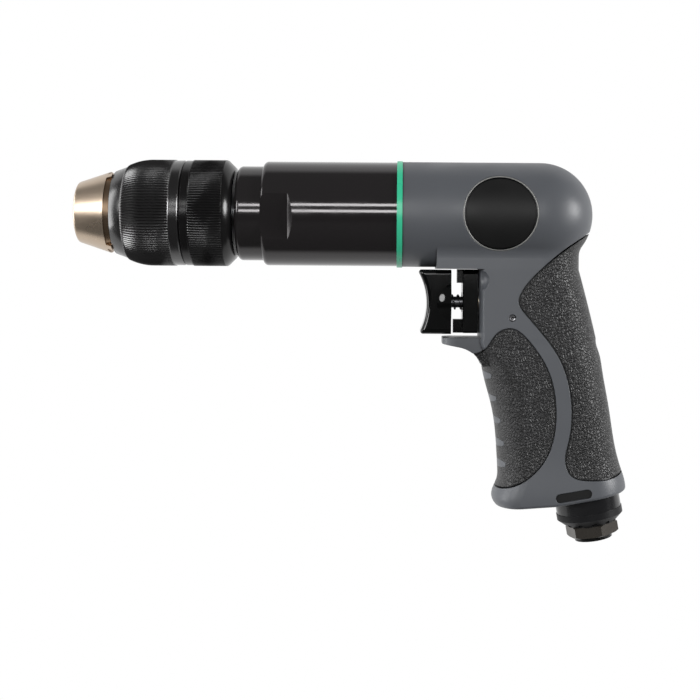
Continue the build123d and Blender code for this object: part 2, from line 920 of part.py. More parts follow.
with BuildPart() as motor_cylinder:
    with BuildSketch(gear_plane(cylinder_front)):
        Circle(cylinder_radius)
        with Locations((0, cylinder_offset)):
            Circle(cylinder_bore_radius, mode=Mode.SUBTRACT)
    extrude(amount=cylinder_length)
    dowel_hole(cylinder_front, cylinder_length)
    for side in (-1, 1):
        with BuildSketch(Plane.XY.offset(-cylinder_radius)):
            with Locations(((cylinder_front + cylinder_back) / 2, side * dowel_circle / 2)):
                with GridLocations(port_pitch, 1, port_count, 1):
                    Circle(port_radius)
        extrude(amount=cylinder_radius, mode=Mode.SUBTRACT)
keep(motor_cylinder, "motor_cylinder")

with BuildPart() as motor_dowel:
    with BuildSketch(gear_plane(cylinder_front - dowel_reach + slip)):
        with Locations((0, -dowel_circle)):
            Circle(dowel_radius)
    extrude(amount=cylinder_length + 2 * (dowel_reach - slip))
keep(motor_dowel, "motor_dowel")

rotor_front = cylinder_front + rotor_end_gap
rotor_length = cylinder_length - 2 * rotor_end_gap
slot_depth = vane_height + end_play
vane_angles = [360 / vane_count * vane for vane in range(vane_count)]


def vane_face(width, height, top):
    """Radial slots or vanes round the rotor, seen along its axis."""
    with BuildSketch(gear_plane(rotor_front)) as blades:
        for angle in vane_angles:
            with Locations(Location(polar(top - height / 2, angle), angle)):
                Rectangle(height, width)
    return blades.sketch


with BuildPart() as rotor:
    tube(rotor_front, rotor_front + rotor_length, 0, rotor_radius)
    extrude(vane_face(vane_thickness + 2 * slip, slot_depth, rotor_radius + slip),
            amount=rotor_length, mode=Mode.SUBTRACT)
    tube(ring_gear_back, motor_back, 0, rotor_shaft_radius)
    extrude(sun_face(carrier_back + planet_play), amount=ring_gear_back - carrier_back - planet_play)
keep(rotor, "rotor")

with BuildPart() as vanes:
    extrude(vane_face(vane_thickness, vane_height, rotor_radius - slip), amount=rotor_length)
keep(vanes, "vanes")

rotor_bearings = [
    (front, rotor_bearing_width, rotor_shaft_radius, rotor_bearing_radius, rotor_ball_radius)
    for front in (motor_front, motor_back - rotor_bearing_width)
]
with BuildPart() as rotor_bearing_outers:
    for rotor_bearing in rotor_bearings:
        bearing_outer(*rotor_bearing)
keep(rotor_bearing_outers, "rotor_bearing_outers")

with BuildPart() as rotor_bearing_inners:
    for rotor_bearing in rotor_bearings:
        bearing_inner(*rotor_bearing)
keep(rotor_bearing_inners, "rotor_bearing_inners")

ball_planes = [cross_section(front + width / 2) for front, width, *_ in rotor_bearings]
with BuildPart(*ball_planes) as rotor_bearing_balls:
    with PolarLocations((rotor_shaft_radius + rotor_bearing_radius) / 2, rotor_ball_count):
        Sphere(rotor_ball_radius)
keep(rotor_bearing_balls, "rotor_bearing_balls")

with BuildPart() as motor_gasket:
    tube(motor_back, motor_bore_end, cylinder_radius - gasket_wall, cylinder_radius)
keep(motor_gasket, "motor_gasket")


# The outer form of housing and grips
def grip_outline(section, inset):
    """One level cut through the grip, taken in all round by an inset."""
    height, front, rear, half_width, front_round = section
    wide = half_width - inset
    front_reach = front_round - min(inset, front_round / 2)
    rear_reach = grip_top_rear - inset
    front_centre = back_centre + front + front_round
    rear_centre = back_centre + rear - grip_top_rear
    with BuildSketch(Plane.XY.offset(height)) as outline:
        with BuildLine():
            Line((rear_centre, wide), (front_centre, wide))
            EllipticalCenterArc((front_centre, 0), front_reach, wide, 90)
            EllipticalCenterArc((front_centre, 0), front_reach, wide, 180)
            Line((front_centre, -wide), (rear_centre, -wide))
            EllipticalCenterArc((rear_centre, 0), rear_reach, wide, 270)
            EllipticalCenterArc((rear_centre, 0), rear_reach, wide, 0)
        make_face()
    return outline.sketch


def block_outline(inset):
    """The level outline of the block over the trigger, rounded at the back as the grip is."""
    height, _, _, half_width, _ = grip_sections[0]
    wide = half_width - inset
    rear_reach = grip_top_rear - inset
    with BuildSketch(Plane.XY.offset(height)) as outline:
        with BuildLine():
            Polyline(
                (back_centre, wide),
                (back_centre + block_front, wide),
                (back_centre + block_front, -wide),
                (back_centre, -wide),
            )
            EllipticalCenterArc((back_centre, 0), rear_reach, wide, 270)
            EllipticalCenterArc((back_centre, 0), rear_reach, wide, 0)
        make_face()
    return outline.sketch


def round_back(inset):
    """Barrel over the block, with its rounded back."""
    radius = housing_radius - inset
    with BuildSketch(handle_frame) as profile:
        with BuildLine():
            Polyline((0, radius), (block_front, radius), (block_front, 0), (radius, 0))
            CenterArc((0, 0), radius, 0, 90)
        make_face()
    revolve(profile.sketch, axis=Axis.X)


def grip(inset):
    """The grip from the block to below the base, flat at the front behind the trigger."""
    outlines = [grip_outline(section, inset).face() for section in grip_sections]
    loft(outlines[:flat_sections])
    loft(outlines[flat_sections - 1 :])


def body_form(inset):
    """Barrel, block and grip together, taken in by an inset."""
    with BuildPart() as form:
        round_back(inset)
        extrude(block_outline(inset), amount=-block_bottom)
        grip(inset)
    return form.part


def pad_region(line, corners, groove):
    """The side view of a pad: a curved edge, moved out by a groove and closed off outside the grip."""
    with BuildSketch(handle_frame) as region:
        with BuildLine():
            drawn = Spline(*line, mode=Mode.PRIVATE)
            outward = [drawn.tangent_at(point).rotate(Axis.Z, -90) for point in line]
            edge = [Vector(*point) + way * groove for point, way in zip(line, outward)]
            Spline(*edge)
            Polyline(edge[-1], *corners, edge[0])
        make_face()
    return region.sketch


def rib_region(gap):
    """The side view of the finger ribs that show through the front pad, taken in by a gap."""
    with BuildSketch(handle_frame) as ribs:
        for tip_station, tip_height in rib_tips:
            root = tip_station - rib_length
            with BuildLine() as rib:
                Polyline(
                    (tip_station - gap, tip_height + rib_tip_height / 2 - gap),
                    (tip_station - gap, tip_height - rib_tip_height / 2 + gap),
                    (root, tip_height - rib_root_height / 2 + gap),
                    (root, tip_height + rib_root_height / 2 - gap),
                    close=True,
                )
                fillet(rib.vertices().sort_by(Axis.X)[-2:], rib_tip_round)
            make_face()
    return ribs.sketch


def front_pad_space(groove, rib_gap):
    """The front pad's prism across the grip, with the ribs left standing."""
    with BuildPart() as prism:
        extrude(pad_region(front_pad_line, front_pad_corners, groove), amount=across, both=True)
        extrude(rib_region(rib_gap), amount=across, both=True, mode=Mode.SUBTRACT)
    return prism.part


def rear_pad_space(groove):
    """The rear pad's prism across the grip."""
    with BuildPart() as prism:
        extrude(pad_region(rear_pad_line, rear_pad_corners, groove), amount=across, both=True)
    return prism.part


across = 2 * housing_radius
base_slope = tan(radians(base_tilt))
inlet_slope = tan(radians(inlet_tilt))
base_rise = base_height - base_station * base_slope
inlet_rise = inlet_height - inlet_station * inlet_slope
base_knee = (base_rise - inlet_rise) / (inlet_slope - base_slope)
with BuildPart() as outer_form:
    round_back(0)
    extrude(block_outline(0), amount=-block_bottom)
    crease = (
        outer_form.edges()
        .filter_by_position(Axis.Z, block_bottom + 1, -1)
        .filter_by_position(Axis.X, back_centre + block_front + 1, back_centre + housing_radius)
    )
    fillet(crease, blend_radius)
    grip(0)
    with BuildSketch(handle_frame):
        with BuildLine():
            under = Line((shelf_front, shelf_top - shelf_thickness), shelf_turn)
            TangentArc(under @ 1, shelf_root, tangent=under % 1)
            Polyline(
                shelf_root,
                (shelf_root[0] + shelf_thickness, shelf_root[1]),
                (shelf_root[0] + shelf_thickness, shelf_top),
                (shelf_front, shelf_top),
                under @ 0,
            )
        make_face()
    extrude(amount=shelf_half_width, both=True)
    shelf_corners = (
        outer_form.edges()
        .filter_by(Axis.Z)
        .filter_by_position(Axis.X, back_centre + shelf_front - 1, back_centre + shelf_front + 1)
        .filter_by_position(Axis.Z, shelf_top - shelf_thickness, shelf_top)
    )
    fillet(shelf_corners, shelf_corner_round)
    with BuildSketch(handle_frame):
        with BuildLine():
            Polyline(
                (-across, base_rise - across * base_slope),
                (base_knee, base_rise + base_knee * base_slope),
                (across, inlet_rise + across * inlet_slope),
                (across, 2 * base_height),
                (-across, 2 * base_height),
                close=True,
            )
        make_face()
    extrude(amount=across, both=True, mode=Mode.SUBTRACT)
    base_faces = outer_form.faces().filter_by(GeomType.PLANE).sort_by(Axis.Z)[:2]
    fillet(base_faces.edges().filter_by(Axis.Y, reverse=True), base_round)
    tube(housing_front, back_centre + block_front, 0, housing_radius)

# Two rubber pads are moulded over the grip
pad_bed = body_form(pad_thickness - slip)
with BuildPart() as rear_grip:
    add(outer_form.part)
    add(rear_pad_space(0), mode=Mode.INTERSECT)
    add(pad_bed, mode=Mode.SUBTRACT)
keep(rear_grip, "rear_grip")

with BuildPart() as front_grip:
    add(outer_form.part)
    add(front_pad_space(0, 0), mode=Mode.INTERSECT)
    add(pad_bed, mode=Mode.SUBTRACT)
keep(front_grip, "front_grip")

with BuildPart() as pad_cut:
    add(rear_pad_space(pad_groove))
    add(front_pad_space(pad_groove, slip))
    add(body_form(pad_thickness), mode=Mode.SUBTRACT)


def badge_discs(radius, bed, outside):
    """Curved discs on both sides of the barrel, between two radii of the barrel."""
    with BuildPart() as discs:
        with BuildSketch(handle_frame):
            with Locations((badge_station, 0)):
                Circle(radius)
        extrude(amount=across, both=True)
        tube(housing_front, back_centre, bed, outside, mode=Mode.INTERSECT)
    return discs.part


def side_pin(radius, half_length, mode=Mode.ADD):
    """A pin across the handle under the valve bushing."""
    with BuildSketch(handle_frame) as pin:
        with Locations((retaining_pin_station, retaining_pin_height)):
            Circle(radius)
    extrude(pin.sketch, amount=half_length, both=True, mode=mode)


def air_ports(bottom, top):
    """The two upright ports between the valve and the motor."""
    with BuildSketch(Plane.XY.offset(bottom)) as ports:
        with Locations(*[(back_centre + station, 0) for station in valve_port_stations]):
            Circle(valve_port_radius)
    extrude(ports.sketch, amount=top - bottom, mode=Mode.SUBTRACT)


badge_bed = housing_radius - badge_thickness
inlet_run = (stem_height - inlet_height) / cos(radians(inlet_tilt))
collar_bore = inlet_spigot_radius + end_play
with BuildPart() as housing:
    add(outer_form.part)
    add(pad_cut.part, mode=Mode.SUBTRACT)
    tube(housing_front, motor_front, 0, spigot_radius + slip, mode=Mode.SUBTRACT)
    tube(motor_front, motor_bore_end, 0, motor_bore_radius, mode=Mode.SUBTRACT)
    tube(lever_back, bushing_back, 0, bushing_radius + slip, frame=stem_frame, mode=Mode.SUBTRACT)
    tube(bushing_back, chamber_back, 0, chamber_radius, frame=stem_frame, mode=Mode.SUBTRACT)
    tube(-inlet_run, 0, 0, inlet_passage_radius, frame=inlet_frame, mode=Mode.SUBTRACT)
    tube(-inlet_spigot_depth, 0, 0, inlet_spigot_radius + slip, frame=inlet_frame, mode=Mode.SUBTRACT)
    tube(-collar_spigot_height, 0, 0, collar_spigot_radius + slip, frame=inlet_frame, mode=Mode.SUBTRACT)
    add(badge_discs(badge_radius + slip, badge_bed - slip, across), mode=Mode.SUBTRACT)
    air_ports(stem_height, -motor_bore_radius + 1)
    side_pin(retaining_pin_radius + slip, across, mode=Mode.SUBTRACT)
    for side in (-1, 1):
        start = Vector(back_centre + duct_station, side * duct_top_spread, duct_top_height)
        foot_place = (-collar_spigot_height, -duct_foot_lead, side * duct_foot_spread)
        foot = inlet_frame.from_local_coords(foot_place)
        with BuildSketch(Plane(origin=start, z_dir=foot - start)):
            Circle(exhaust_duct_radius)
        extrude(amount=(foot - start).length, mode=Mode.SUBTRACT)
        with Locations((back_centre + scoop_station, side * scoop_spread, scoop_height)):
            Sphere(scoop_radius, mode=Mode.SUBTRACT)
        with BuildSketch(handle_frame.offset(-side * plaque_bed)):
            with Locations((plaque_station, plaque_centre)):
                SlotOverall(plaque_length, plaque_height, rotation=inlet_tilt)
        extrude(amount=-side * plaque_height, mode=Mode.SUBTRACT)
keep(housing, "housing")

with BuildPart() as badges:
    add(badge_discs(badge_radius, badge_bed, housing_radius))
keep(badges, "badges")

with BuildPart() as retaining_pin:
    side_pin(retaining_pin_radius, retaining_pin_half_length)
keep(retaining_pin, "retaining_pin")

# Trigger, with side skirts that straddle the reversing lever when it is pressed
trigger_middle = (trigger_top + trigger_bottom) / 2
cap_sphere = (dome_radius**2 + dome_rise**2) / (2 * dome_rise)


def trigger_dome(side):
    """A shallow domed swelling on one side of the trigger, round the stem."""
    with BuildPart() as dome:
        with Locations(
            (back_centre + dome_station, side * (trigger_half_width + dome_rise - cap_sphere), stem_height)
        ):
            Sphere(cap_sphere)
        with BuildSketch(handle_frame.offset(-side * (trigger_half_width - trigger_skirt / 2))):
            with Locations((trigger_back - dome_radius / 2, stem_height)):
                Rectangle(dome_radius, 3 * dome_radius)
        extrude(amount=-side * 2 * dome_rise, mode=Mode.INTERSECT)
    return dome.part


with BuildPart() as trigger:
    with BuildSketch(handle_frame) as trigger_profile:
        with BuildLine():
            ThreePointArc(
                (trigger_front, trigger_top),
                (trigger_front + trigger_hollow, trigger_middle),
                (trigger_front + trigger_foot, trigger_bottom),
            )
            Polyline(
                (trigger_front + trigger_foot, trigger_bottom),
                (trigger_back, trigger_bottom),
                (trigger_back, trigger_top),
                (trigger_front, trigger_top),
            )
        make_face()
        front_corners = trigger_profile.vertices().sort_by(Axis.X)[:2]
        fillet(front_corners, trigger_corner_round)
    extrude(amount=trigger_half_width, both=True)
    rolled_edges = (
        trigger.faces().filter_by(Plane.XZ).edges()
        .filter_by(GeomType.LINE, reverse=True)
    )
    fillet(rolled_edges, trigger_edge_round)
    for side in (-1, 1):
        add(trigger_dome(side))
    with BuildSketch(Plane.XY.offset(trigger_bottom)):
        with Locations((back_centre + (trigger_web_back + trigger_back) / 2, 0)):
            Rectangle(trigger_back - trigger_web_back, 2 * (trigger_half_width - trigger_skirt))
    extrude(amount=trigger_top - trigger_bottom, mode=Mode.SUBTRACT)
    tube(stem_front, trigger_web_back, 0, stem_radius + slip, frame=stem_frame, mode=Mode.SUBTRACT)
    tube(spring_front, trigger_web_back, 0, spring_pocket_radius, frame=stem_frame, mode=Mode.SUBTRACT)
keep(trigger, "trigger")

with BuildPart() as trigger_stem:
    tube(stem_front, stem_back, 0, stem_radius, frame=stem_frame)
keep(trigger_stem, "trigger_stem")


def coil_spring(front, back, wire_radius, coil_radius, turns):
    """A coil of round wire along the stem, between two stations of its end faces."""
    margin = wire_radius + slip
    path = coil_path(front + margin, back - margin, coil_radius, turns, stem_frame)
    with BuildSketch(Plane(origin=path @ 0, z_dir=path % 0)) as wire:
        Circle(wire_radius)
    sweep(wire.sketch, path=path)
    print("coil gap", round(coil_gap(path, wire_radius, turns), 3))


with BuildPart() as trigger_spring:
    coil_spring(spring_front, lever_front, spring_wire_radius, spring_coil_radius, spring_turns)
keep(trigger_spring, "trigger_spring")


# Reversing lever, which turns the hollow reversing valve about the stem
def lever_arm(front, back, half_width, low, high):
    """A bar across the stem between two heights over it, rounded off at the lever's radius."""
    with BuildSketch(cross_section(front, stem_frame)) as arm:
        with Locations((0, -(low + high) / 2)):
            Rectangle(2 * half_width, high - low)
        Circle(lever_radius, mode=Mode.INTERSECT)
    extrude(arm.sketch, amount=back - front)


with BuildPart() as reverse_lever:
    lever_arm(lever_front, lever_back, lever_half_width, -lever_foot, lever_radius)
    bar_edges = reverse_lever.edges().group_by(Axis.X)[0]
    fillet(bar_edges, lever_edge_round)
    knob_root = lever_front + lever_edge_round
    lever_arm(knob_front, knob_root, knob_half_width, lever_radius - knob_height, lever_radius)
    lever_arm(tab_front, knob_root, knob_half_width, -lever_foot, knob_height - lever_foot)
    tube(lever_front, lever_back, 0, reverse_valve_radius + slip, frame=stem_frame, mode=Mode.SUBTRACT)
keep(reverse_lever, "reverse_lever")

reverse_valve_back = bushing_back - bushing_end_wall - end_play
with BuildPart() as reverse_valve:
    tube(
        lever_front + lever_edge_round,
        reverse_valve_back,
        stem_radius + running,
        reverse_valve_radius,
        frame=stem_frame,
    )
    air_ports(stem_height, stem_height + 2 * reverse_valve_radius)
keep(reverse_valve, "reverse_valve")

o_ring_circle = bushing_radius - slip - o_ring_section
with BuildPart() as valve_bushing:
    turn(
        (bushing_front, reverse_valve_radius + running),
        (bushing_front, bushing_radius),
        (bushing_back, bushing_radius),
        (bushing_back, stem_radius + running),
        (bushing_back - bushing_end_wall, stem_radius + running),
        (bushing_back - bushing_end_wall, reverse_valve_radius + running),
        frame=stem_frame,
    )
    for station in o_ring_stations:
        tube(
            station - o_ring_section - slip,
            station + o_ring_section + slip,
            o_ring_circle - o_ring_section - slip,
            2 * bushing_radius,
            frame=stem_frame,
            mode=Mode.SUBTRACT,
        )
    air_ports(stem_height, stem_height + 2 * bushing_radius)
    side_pin(retaining_pin_radius + running, across, mode=Mode.SUBTRACT)
keep(valve_bushing, "valve_bushing")

with BuildPart() as bushing_o_rings:
    with Locations(*[(back_centre + station, 0, stem_height) for station in o_ring_stations]):
        Torus(o_ring_circle, o_ring_section, rotation=(0, 90, 0))
keep(bushing_o_rings, "bushing_o_rings")

# The stem pushes the throttle valve off its seat against a second spring
with BuildPart() as throttle_valve:
    turn(
        (stem_back + end_play, 0),
        (stem_back + end_play, throttle_pilot_radius),
        (throttle_head_front, throttle_pilot_radius),
        (throttle_head_front, throttle_head_radius),
        (throttle_head_back, throttle_head_radius),
        (throttle_head_back, throttle_pilot_radius),
        (throttle_head_back + throttle_guide_length, throttle_pilot_radius),
        (throttle_head_back + throttle_guide_length, 0),
        frame=stem_frame,
    )
keep(throttle_valve, "throttle_valve")

with BuildPart() as throttle_spring:
    coil_spring(
        throttle_head_back, chamber_back, throttle_wire_radius, throttle_coil_radius, throttle_spring_turns
    )
keep(throttle_spring, "throttle_spring")

# Air inlet in the base, ringed by the exhaust
ring_front = collar_height
taper_front = ring_front + ring_height
hex_front = taper_front + ring_taper_height
hex_back = hex_front + hex_height
inlet_mouth = hex_back + rim_height
thread_end = inlet_mouth - inlet_thread_depth
screen_seat = thread_end - screen_thickness - slip
with BuildPart() as exhaust_collar:
    turn(
        (-collar_spigot_height + slip, collar_bore),
        (-collar_spigot_height + slip, collar_spigot_radius),
        (0, collar_spigot_radius),
        (0, collar_radius),
        (collar_height, collar_radius),
        (collar_height, collar_radius - collar_wall),
        (collar_wall, collar_radius - collar_wall),
        (collar_wall, collar_bore),
        frame=inlet_frame,
    )
    with BuildSketch(cross_section(-collar_spigot_height, inlet_frame)):
        with PolarLocations((collar_bore + collar_spigot_radius) / 2, exhaust_hole_count):
            Circle(vent_hole_radius)
    extrude(amount=collar_spigot_height + collar_wall, mode=Mode.SUBTRACT)
keep(exhaust_collar, "exhaust_collar")

with BuildPart() as muffler:
    tube(
        collar_wall + slip,
        collar_height - slip,
        collar_bore + slip,
        collar_radius - collar_wall - slip,
        frame=inlet_frame,
    )
keep(muffler, "muffler")

with BuildPart() as exhaust_ring:
    turn(
        (ring_front, collar_bore),
        (ring_front, ring_radius),
        (taper_front, ring_radius),
        (hex_front, ring_taper_radius),
        (hex_front, collar_bore),
        frame=inlet_frame,
    )
    with BuildSketch(cross_section(ring_front, inlet_frame)):
        with PolarLocations((ring_radius + collar_bore) / 2, exhaust_hole_count):
            Circle(exhaust_hole_radius)
    extrude(amount=hex_front - ring_front, mode=Mode.SUBTRACT)
keep(exhaust_ring, "exhaust_ring")

hex_corner = hex_width / 2 / cos(radians(30))
with BuildPart() as inlet_bushing:
    with BuildSketch(cross_section(hex_front, inlet_frame)):
        RegularPolygon(hex_width / 2, 6, major_radius=False, rotation=hex_turn)
    extrude(amount=hex_height)
    turn(
        (hex_front, 0),
        (hex_front, hex_corner - hex_chamfer),
        (hex_front + hex_chamfer / 2, hex_corner),
        (hex_back - hex_chamfer / 2, hex_corner),
        (hex_back, hex_corner - hex_chamfer),
        (hex_back, 0),
        frame=inlet_frame,
        mode=Mode.INTERSECT,
    )
    tube(-inlet_spigot_depth, hex_front, 0, inlet_spigot_radius, frame=inlet_frame)
    tube(hex_back, inlet_mouth, 0, rim_radius, frame=inlet_frame)
    tube(-inlet_spigot_depth, screen_seat, 0, inlet_passage_radius, frame=inlet_frame, mode=Mode.SUBTRACT)
    tube(screen_seat, thread_end, 0, screen_radius + slip, frame=inlet_frame, mode=Mode.SUBTRACT)
    tube(thread_end, inlet_mouth, 0, inlet_thread_radius, frame=inlet_frame, mode=Mode.SUBTRACT)
keep(inlet_bushing, "inlet_bushing")

with BuildPart() as inlet_screen:
    with BuildSketch(cross_section(screen_seat, inlet_frame)):
        Circle(screen_radius)
        with GridLocations(screen_pitch, screen_pitch, screen_rows, screen_rows):
            Circle(screen_hole_radius, mode=Mode.SUBTRACT)
    extrude(amount=screen_thickness)
keep(inlet_screen, "inlet_screen")
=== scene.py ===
# %% [markdown]
# # A reversible air drill
# The solids of this drill come from a CAD model that is already packed with its joints. In this
# lesson they are dressed: each visible surface gets a procedural finish, and the pieces whose
# detail is too fine for the solids, such as the knurled chuck, are modelled again here. We load
# the model first, because every piece we add has to ride on one of its bodies.

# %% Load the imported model
import math

import bmesh
import bpy
from mathutils import Matrix, Vector


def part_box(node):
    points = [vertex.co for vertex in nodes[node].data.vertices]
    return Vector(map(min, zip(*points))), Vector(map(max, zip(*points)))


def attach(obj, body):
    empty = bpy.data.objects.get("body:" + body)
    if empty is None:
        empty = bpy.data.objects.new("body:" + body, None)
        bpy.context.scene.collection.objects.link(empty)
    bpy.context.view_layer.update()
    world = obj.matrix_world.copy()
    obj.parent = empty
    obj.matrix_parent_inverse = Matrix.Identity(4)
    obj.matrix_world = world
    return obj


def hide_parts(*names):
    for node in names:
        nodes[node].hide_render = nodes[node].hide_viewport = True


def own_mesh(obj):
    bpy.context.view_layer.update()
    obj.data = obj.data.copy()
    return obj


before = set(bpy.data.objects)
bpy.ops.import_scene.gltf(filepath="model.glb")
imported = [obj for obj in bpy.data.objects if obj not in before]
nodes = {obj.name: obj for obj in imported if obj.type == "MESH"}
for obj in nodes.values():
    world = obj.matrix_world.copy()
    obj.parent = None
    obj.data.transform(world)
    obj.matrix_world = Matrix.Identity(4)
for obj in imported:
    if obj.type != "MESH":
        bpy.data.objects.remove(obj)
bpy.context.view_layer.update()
mm = 0.001

# %% [markdown]
# ## The camera
# The drill is seen square from its side, from about half a metre away. A lens shift could be
# replaced by aiming the camera, but aiming would tilt the verticals, and the real picture keeps
# them upright, so the camera looks straight along +Y and the frame is shifted instead. It is
# rolled by less than half a degree.

# %% Camera
camera_data = bpy.data.cameras.new("camera")
camera_data.sensor_width = 36
camera_data.lens = 64.05
camera_data.shift_x = -0.0743
camera_data.shift_y = -0.1164
camera_data.clip_start = 0.01
camera_data.clip_end = 20
camera = bpy.data.objects.new("camera", camera_data)
camera.location = (0.1324, -0.512, -0.0222)
upright, roll = math.radians(90), math.radians(-0.42)
camera.rotation_euler = (upright, roll, 0)
bpy.context.scene.collection.objects.link(camera)
bpy.context.scene.camera = camera
bpy.context.scene.view_settings.view_transform = "Standard"
print("camera at", tuple(camera.location), "lens", camera_data.lens)

# %% [markdown]
# ## Node helpers
# Every finish below is a small tree of nodes. Two helpers keep the cells short: one adds a node
# and sets its inputs by name, and one starts a node group with named sockets, so that an effect
# such as grain can be built once and used in many materials.


# %% Helpers for node trees
def add_node(tree, kind, links=None, **values):
    """Add a node, set its plain properties and inputs, and link the sockets given by name."""
    node = tree.nodes.new(kind)
    for name, value in values.items():
        if name in node.inputs.keys():
            node.inputs[name].default_value = value
        else:
            setattr(node, name, value)
    for name, socket in (links or {}).items():
        tree.links.new(socket, node.inputs[name])
    return node


def start_group(name, inputs, outputs):
    """A new shader group with float or colour sockets; returns its tree and end nodes."""
    tree = bpy.data.node_groups.new(name, "ShaderNodeTree")
    for socket, (kind, value) in inputs.items():
        tree.interface.new_socket(socket, in_out="INPUT", socket_type=kind).default_value = value
    for socket, kind in outputs.items():
        tree.interface.new_socket(socket, in_out="OUTPUT", socket_type=kind)
    return tree, tree.nodes.new("NodeGroupInput"), tree.nodes.new("NodeGroupOutput")


FLOAT, COLOUR = "NodeSocketFloat", "NodeSocketColor"

# %% [markdown]
# ## The stage
# The drill is lit like a small product in a studio: a white sweep behind it, soft boxes at both
# sides, and two slim strips in front that draw the long streaks on the turned metal. The camera
# sees plain white, and so does what glass would show, but the light that reaches the drill stays
# moderate, so that colours come out as they are written. In mirrors the sweep is white behind the
# drill and dark in front of it, which is what gives black metal its depth.


# %% Sweep behind the drill
def seen_directly(tree, path):
    """A mask of what the camera sees straight on or through glass, from the light paths of a tree."""
    rays = {0: path.outputs["Is Camera Ray"], 1: path.outputs["Is Transmission Ray"]}
    return add_node(tree, "ShaderNodeMath", rays, operation="MAXIMUM").outputs[0]


world = bpy.data.worlds.new("studio")
world.use_nodes = True
bpy.context.scene.world = world
tree = world.node_tree
place = add_node(tree, "ShaderNodeTexCoord")
heading = add_node(tree, "ShaderNodeSeparateXYZ", {0: place.outputs["Generated"]})
sweep = add_node(tree, "ShaderNodeMapRange", {"Value": heading.outputs["Y"]}, interpolation_type="SMOOTHSTEP")
sweep.inputs["From Min"].default_value = 0.1
sweep.inputs["From Max"].default_value = 0.38
sweep.inputs["To Min"].default_value = 0.14
sweep.inputs["To Max"].default_value = 1.0
seen = seen_directly(tree, add_node(tree, "ShaderNodeLightPath"))
level = add_node(tree, "ShaderNodeMix", {"Factor": seen, "A": sweep.outputs[0]}, B=1.0)
tree.links.new(level.outputs["Result"], tree.nodes["Background"].inputs["Strength"])
tree.nodes["Background"].inputs["Color"].default_value = (1, 1, 1, 1)
print("light from the front", sweep.inputs["To Min"].default_value)

# %% Floor
floor_middle, floor_half = (0.1, 0, -0.42), 6
floor_mesh = bpy.data.meshes.new("floor")
bm = bmesh.new()
bmesh.ops.create_grid(bm, x_segments=1, y_segments=1, size=floor_half)
bmesh.ops.translate(bm, verts=bm.verts, vec=floor_middle)
bm.to_mesh(floor_mesh)
bm.free()
floor = bpy.data.objects.new("floor", floor_mesh)
bpy.context.scene.collection.objects.link(floor)
floor_paint = bpy.data.materials.new("floor_paint")
floor_paint.use_nodes = True
tree = floor_paint.node_tree
matt = tree.nodes["Principled BSDF"]
matt.inputs["Roughness"].default_value = 0.9
place = add_node(tree, "ShaderNodeTexCoord")
split = add_node(tree, "ShaderNodeSeparateXYZ", {0: place.outputs["Object"]})
behind = add_node(tree, "ShaderNodeMapRange", {"Value": split.outputs["Y"]}, interpolation_type="SMOOTHSTEP")
behind.inputs["From Min"].default_value = -0.03
behind.inputs["From Max"].default_value = 0.1
paint = add_node(tree, "ShaderNodeMix", {"Factor": behind.outputs[0]}, data_type="RGBA")
paint.inputs["A"].default_value = (0.07, 0.07, 0.07, 1)
paint.inputs["B"].default_value = (0.7, 0.7, 0.7, 1)
tree.links.new(paint.outputs["Result"], matt.inputs["Base Color"])
path = add_node(tree, "ShaderNodeLightPath")
seen = seen_directly(tree, path)
mirrored = add_node(
    tree, "ShaderNodeMath", {0: path.outputs["Is Glossy Ray"], 1: behind.outputs[0]}, operation="MULTIPLY"
)
plain = add_node(tree, "ShaderNodeMath", {0: seen, 1: mirrored.outputs[0]}, operation="MAXIMUM")
white = add_node(tree, "ShaderNodeEmission", Color=(1, 1, 1, 1), Strength=1.0)
both = add_node(tree, "ShaderNodeMixShader", {0: plain.outputs[0], 1: matt.outputs[0], 2: white.outputs[0]})
tree.links.new(both.outputs[0], tree.nodes["Material Output"].inputs["Surface"])
floor_mesh.materials.append(floor_paint)
print("floor at", floor_middle[2])


# %% Lamps
def soft_lamp(name, place, aim, size, power, shape="ELLIPSE"):
    """An area lamp, round unless told otherwise, turned towards a point."""
    data = bpy.data.lights.new(name, "AREA")
    data.shape = shape
    data.size, data.size_y = size
    data.energy = power
    lamp = bpy.data.objects.new(name, data)
    lamp.location = place
    lamp.rotation_euler = (Vector(aim) - Vector(place)).to_track_quat("-Z", "Y").to_euler()
    bpy.context.scene.collection.objects.link(lamp)
    return lamp


drill_middle, barrel_middle, chuck_middle = (0.12, 0, -0.03), (0.12, 0, 0), (0.05, 0, 0)
strip_size, strip_power = (0.42, 0.11), 2.05
soft_lamp("right_box", (1.15, -0.3, 0.15), drill_middle, (0.4, 0.4), 9.0)
soft_lamp("left_panel", (-1.0, -0.02, 0.05), drill_middle, (0.5, 1.3), 9.0)
soft_lamp("left_box", (-0.72, -0.8, 0.24), chuck_middle, (0.4, 0.5), 6.0)
soft_lamp("high_strip", (0.04, -1.2, 0.385), barrel_middle, strip_size, strip_power, "RECTANGLE")
soft_lamp("low_strip", (0.04, -1.25, 0.09), barrel_middle, strip_size, strip_power, "RECTANGLE")

# %% [markdown]
# ## Effects that several finishes share
# Moulded plastic has a fine pebbled grain and slightly uneven colour. Turned metal has fine rings
# where the lathe tool passed, so its gloss is drawn out along the axis. Handled surfaces have
# faint smudges that change only their gloss. Each effect is a group here. All of them read
# Object coordinates, so the pattern stays fixed to the piece when it moves.

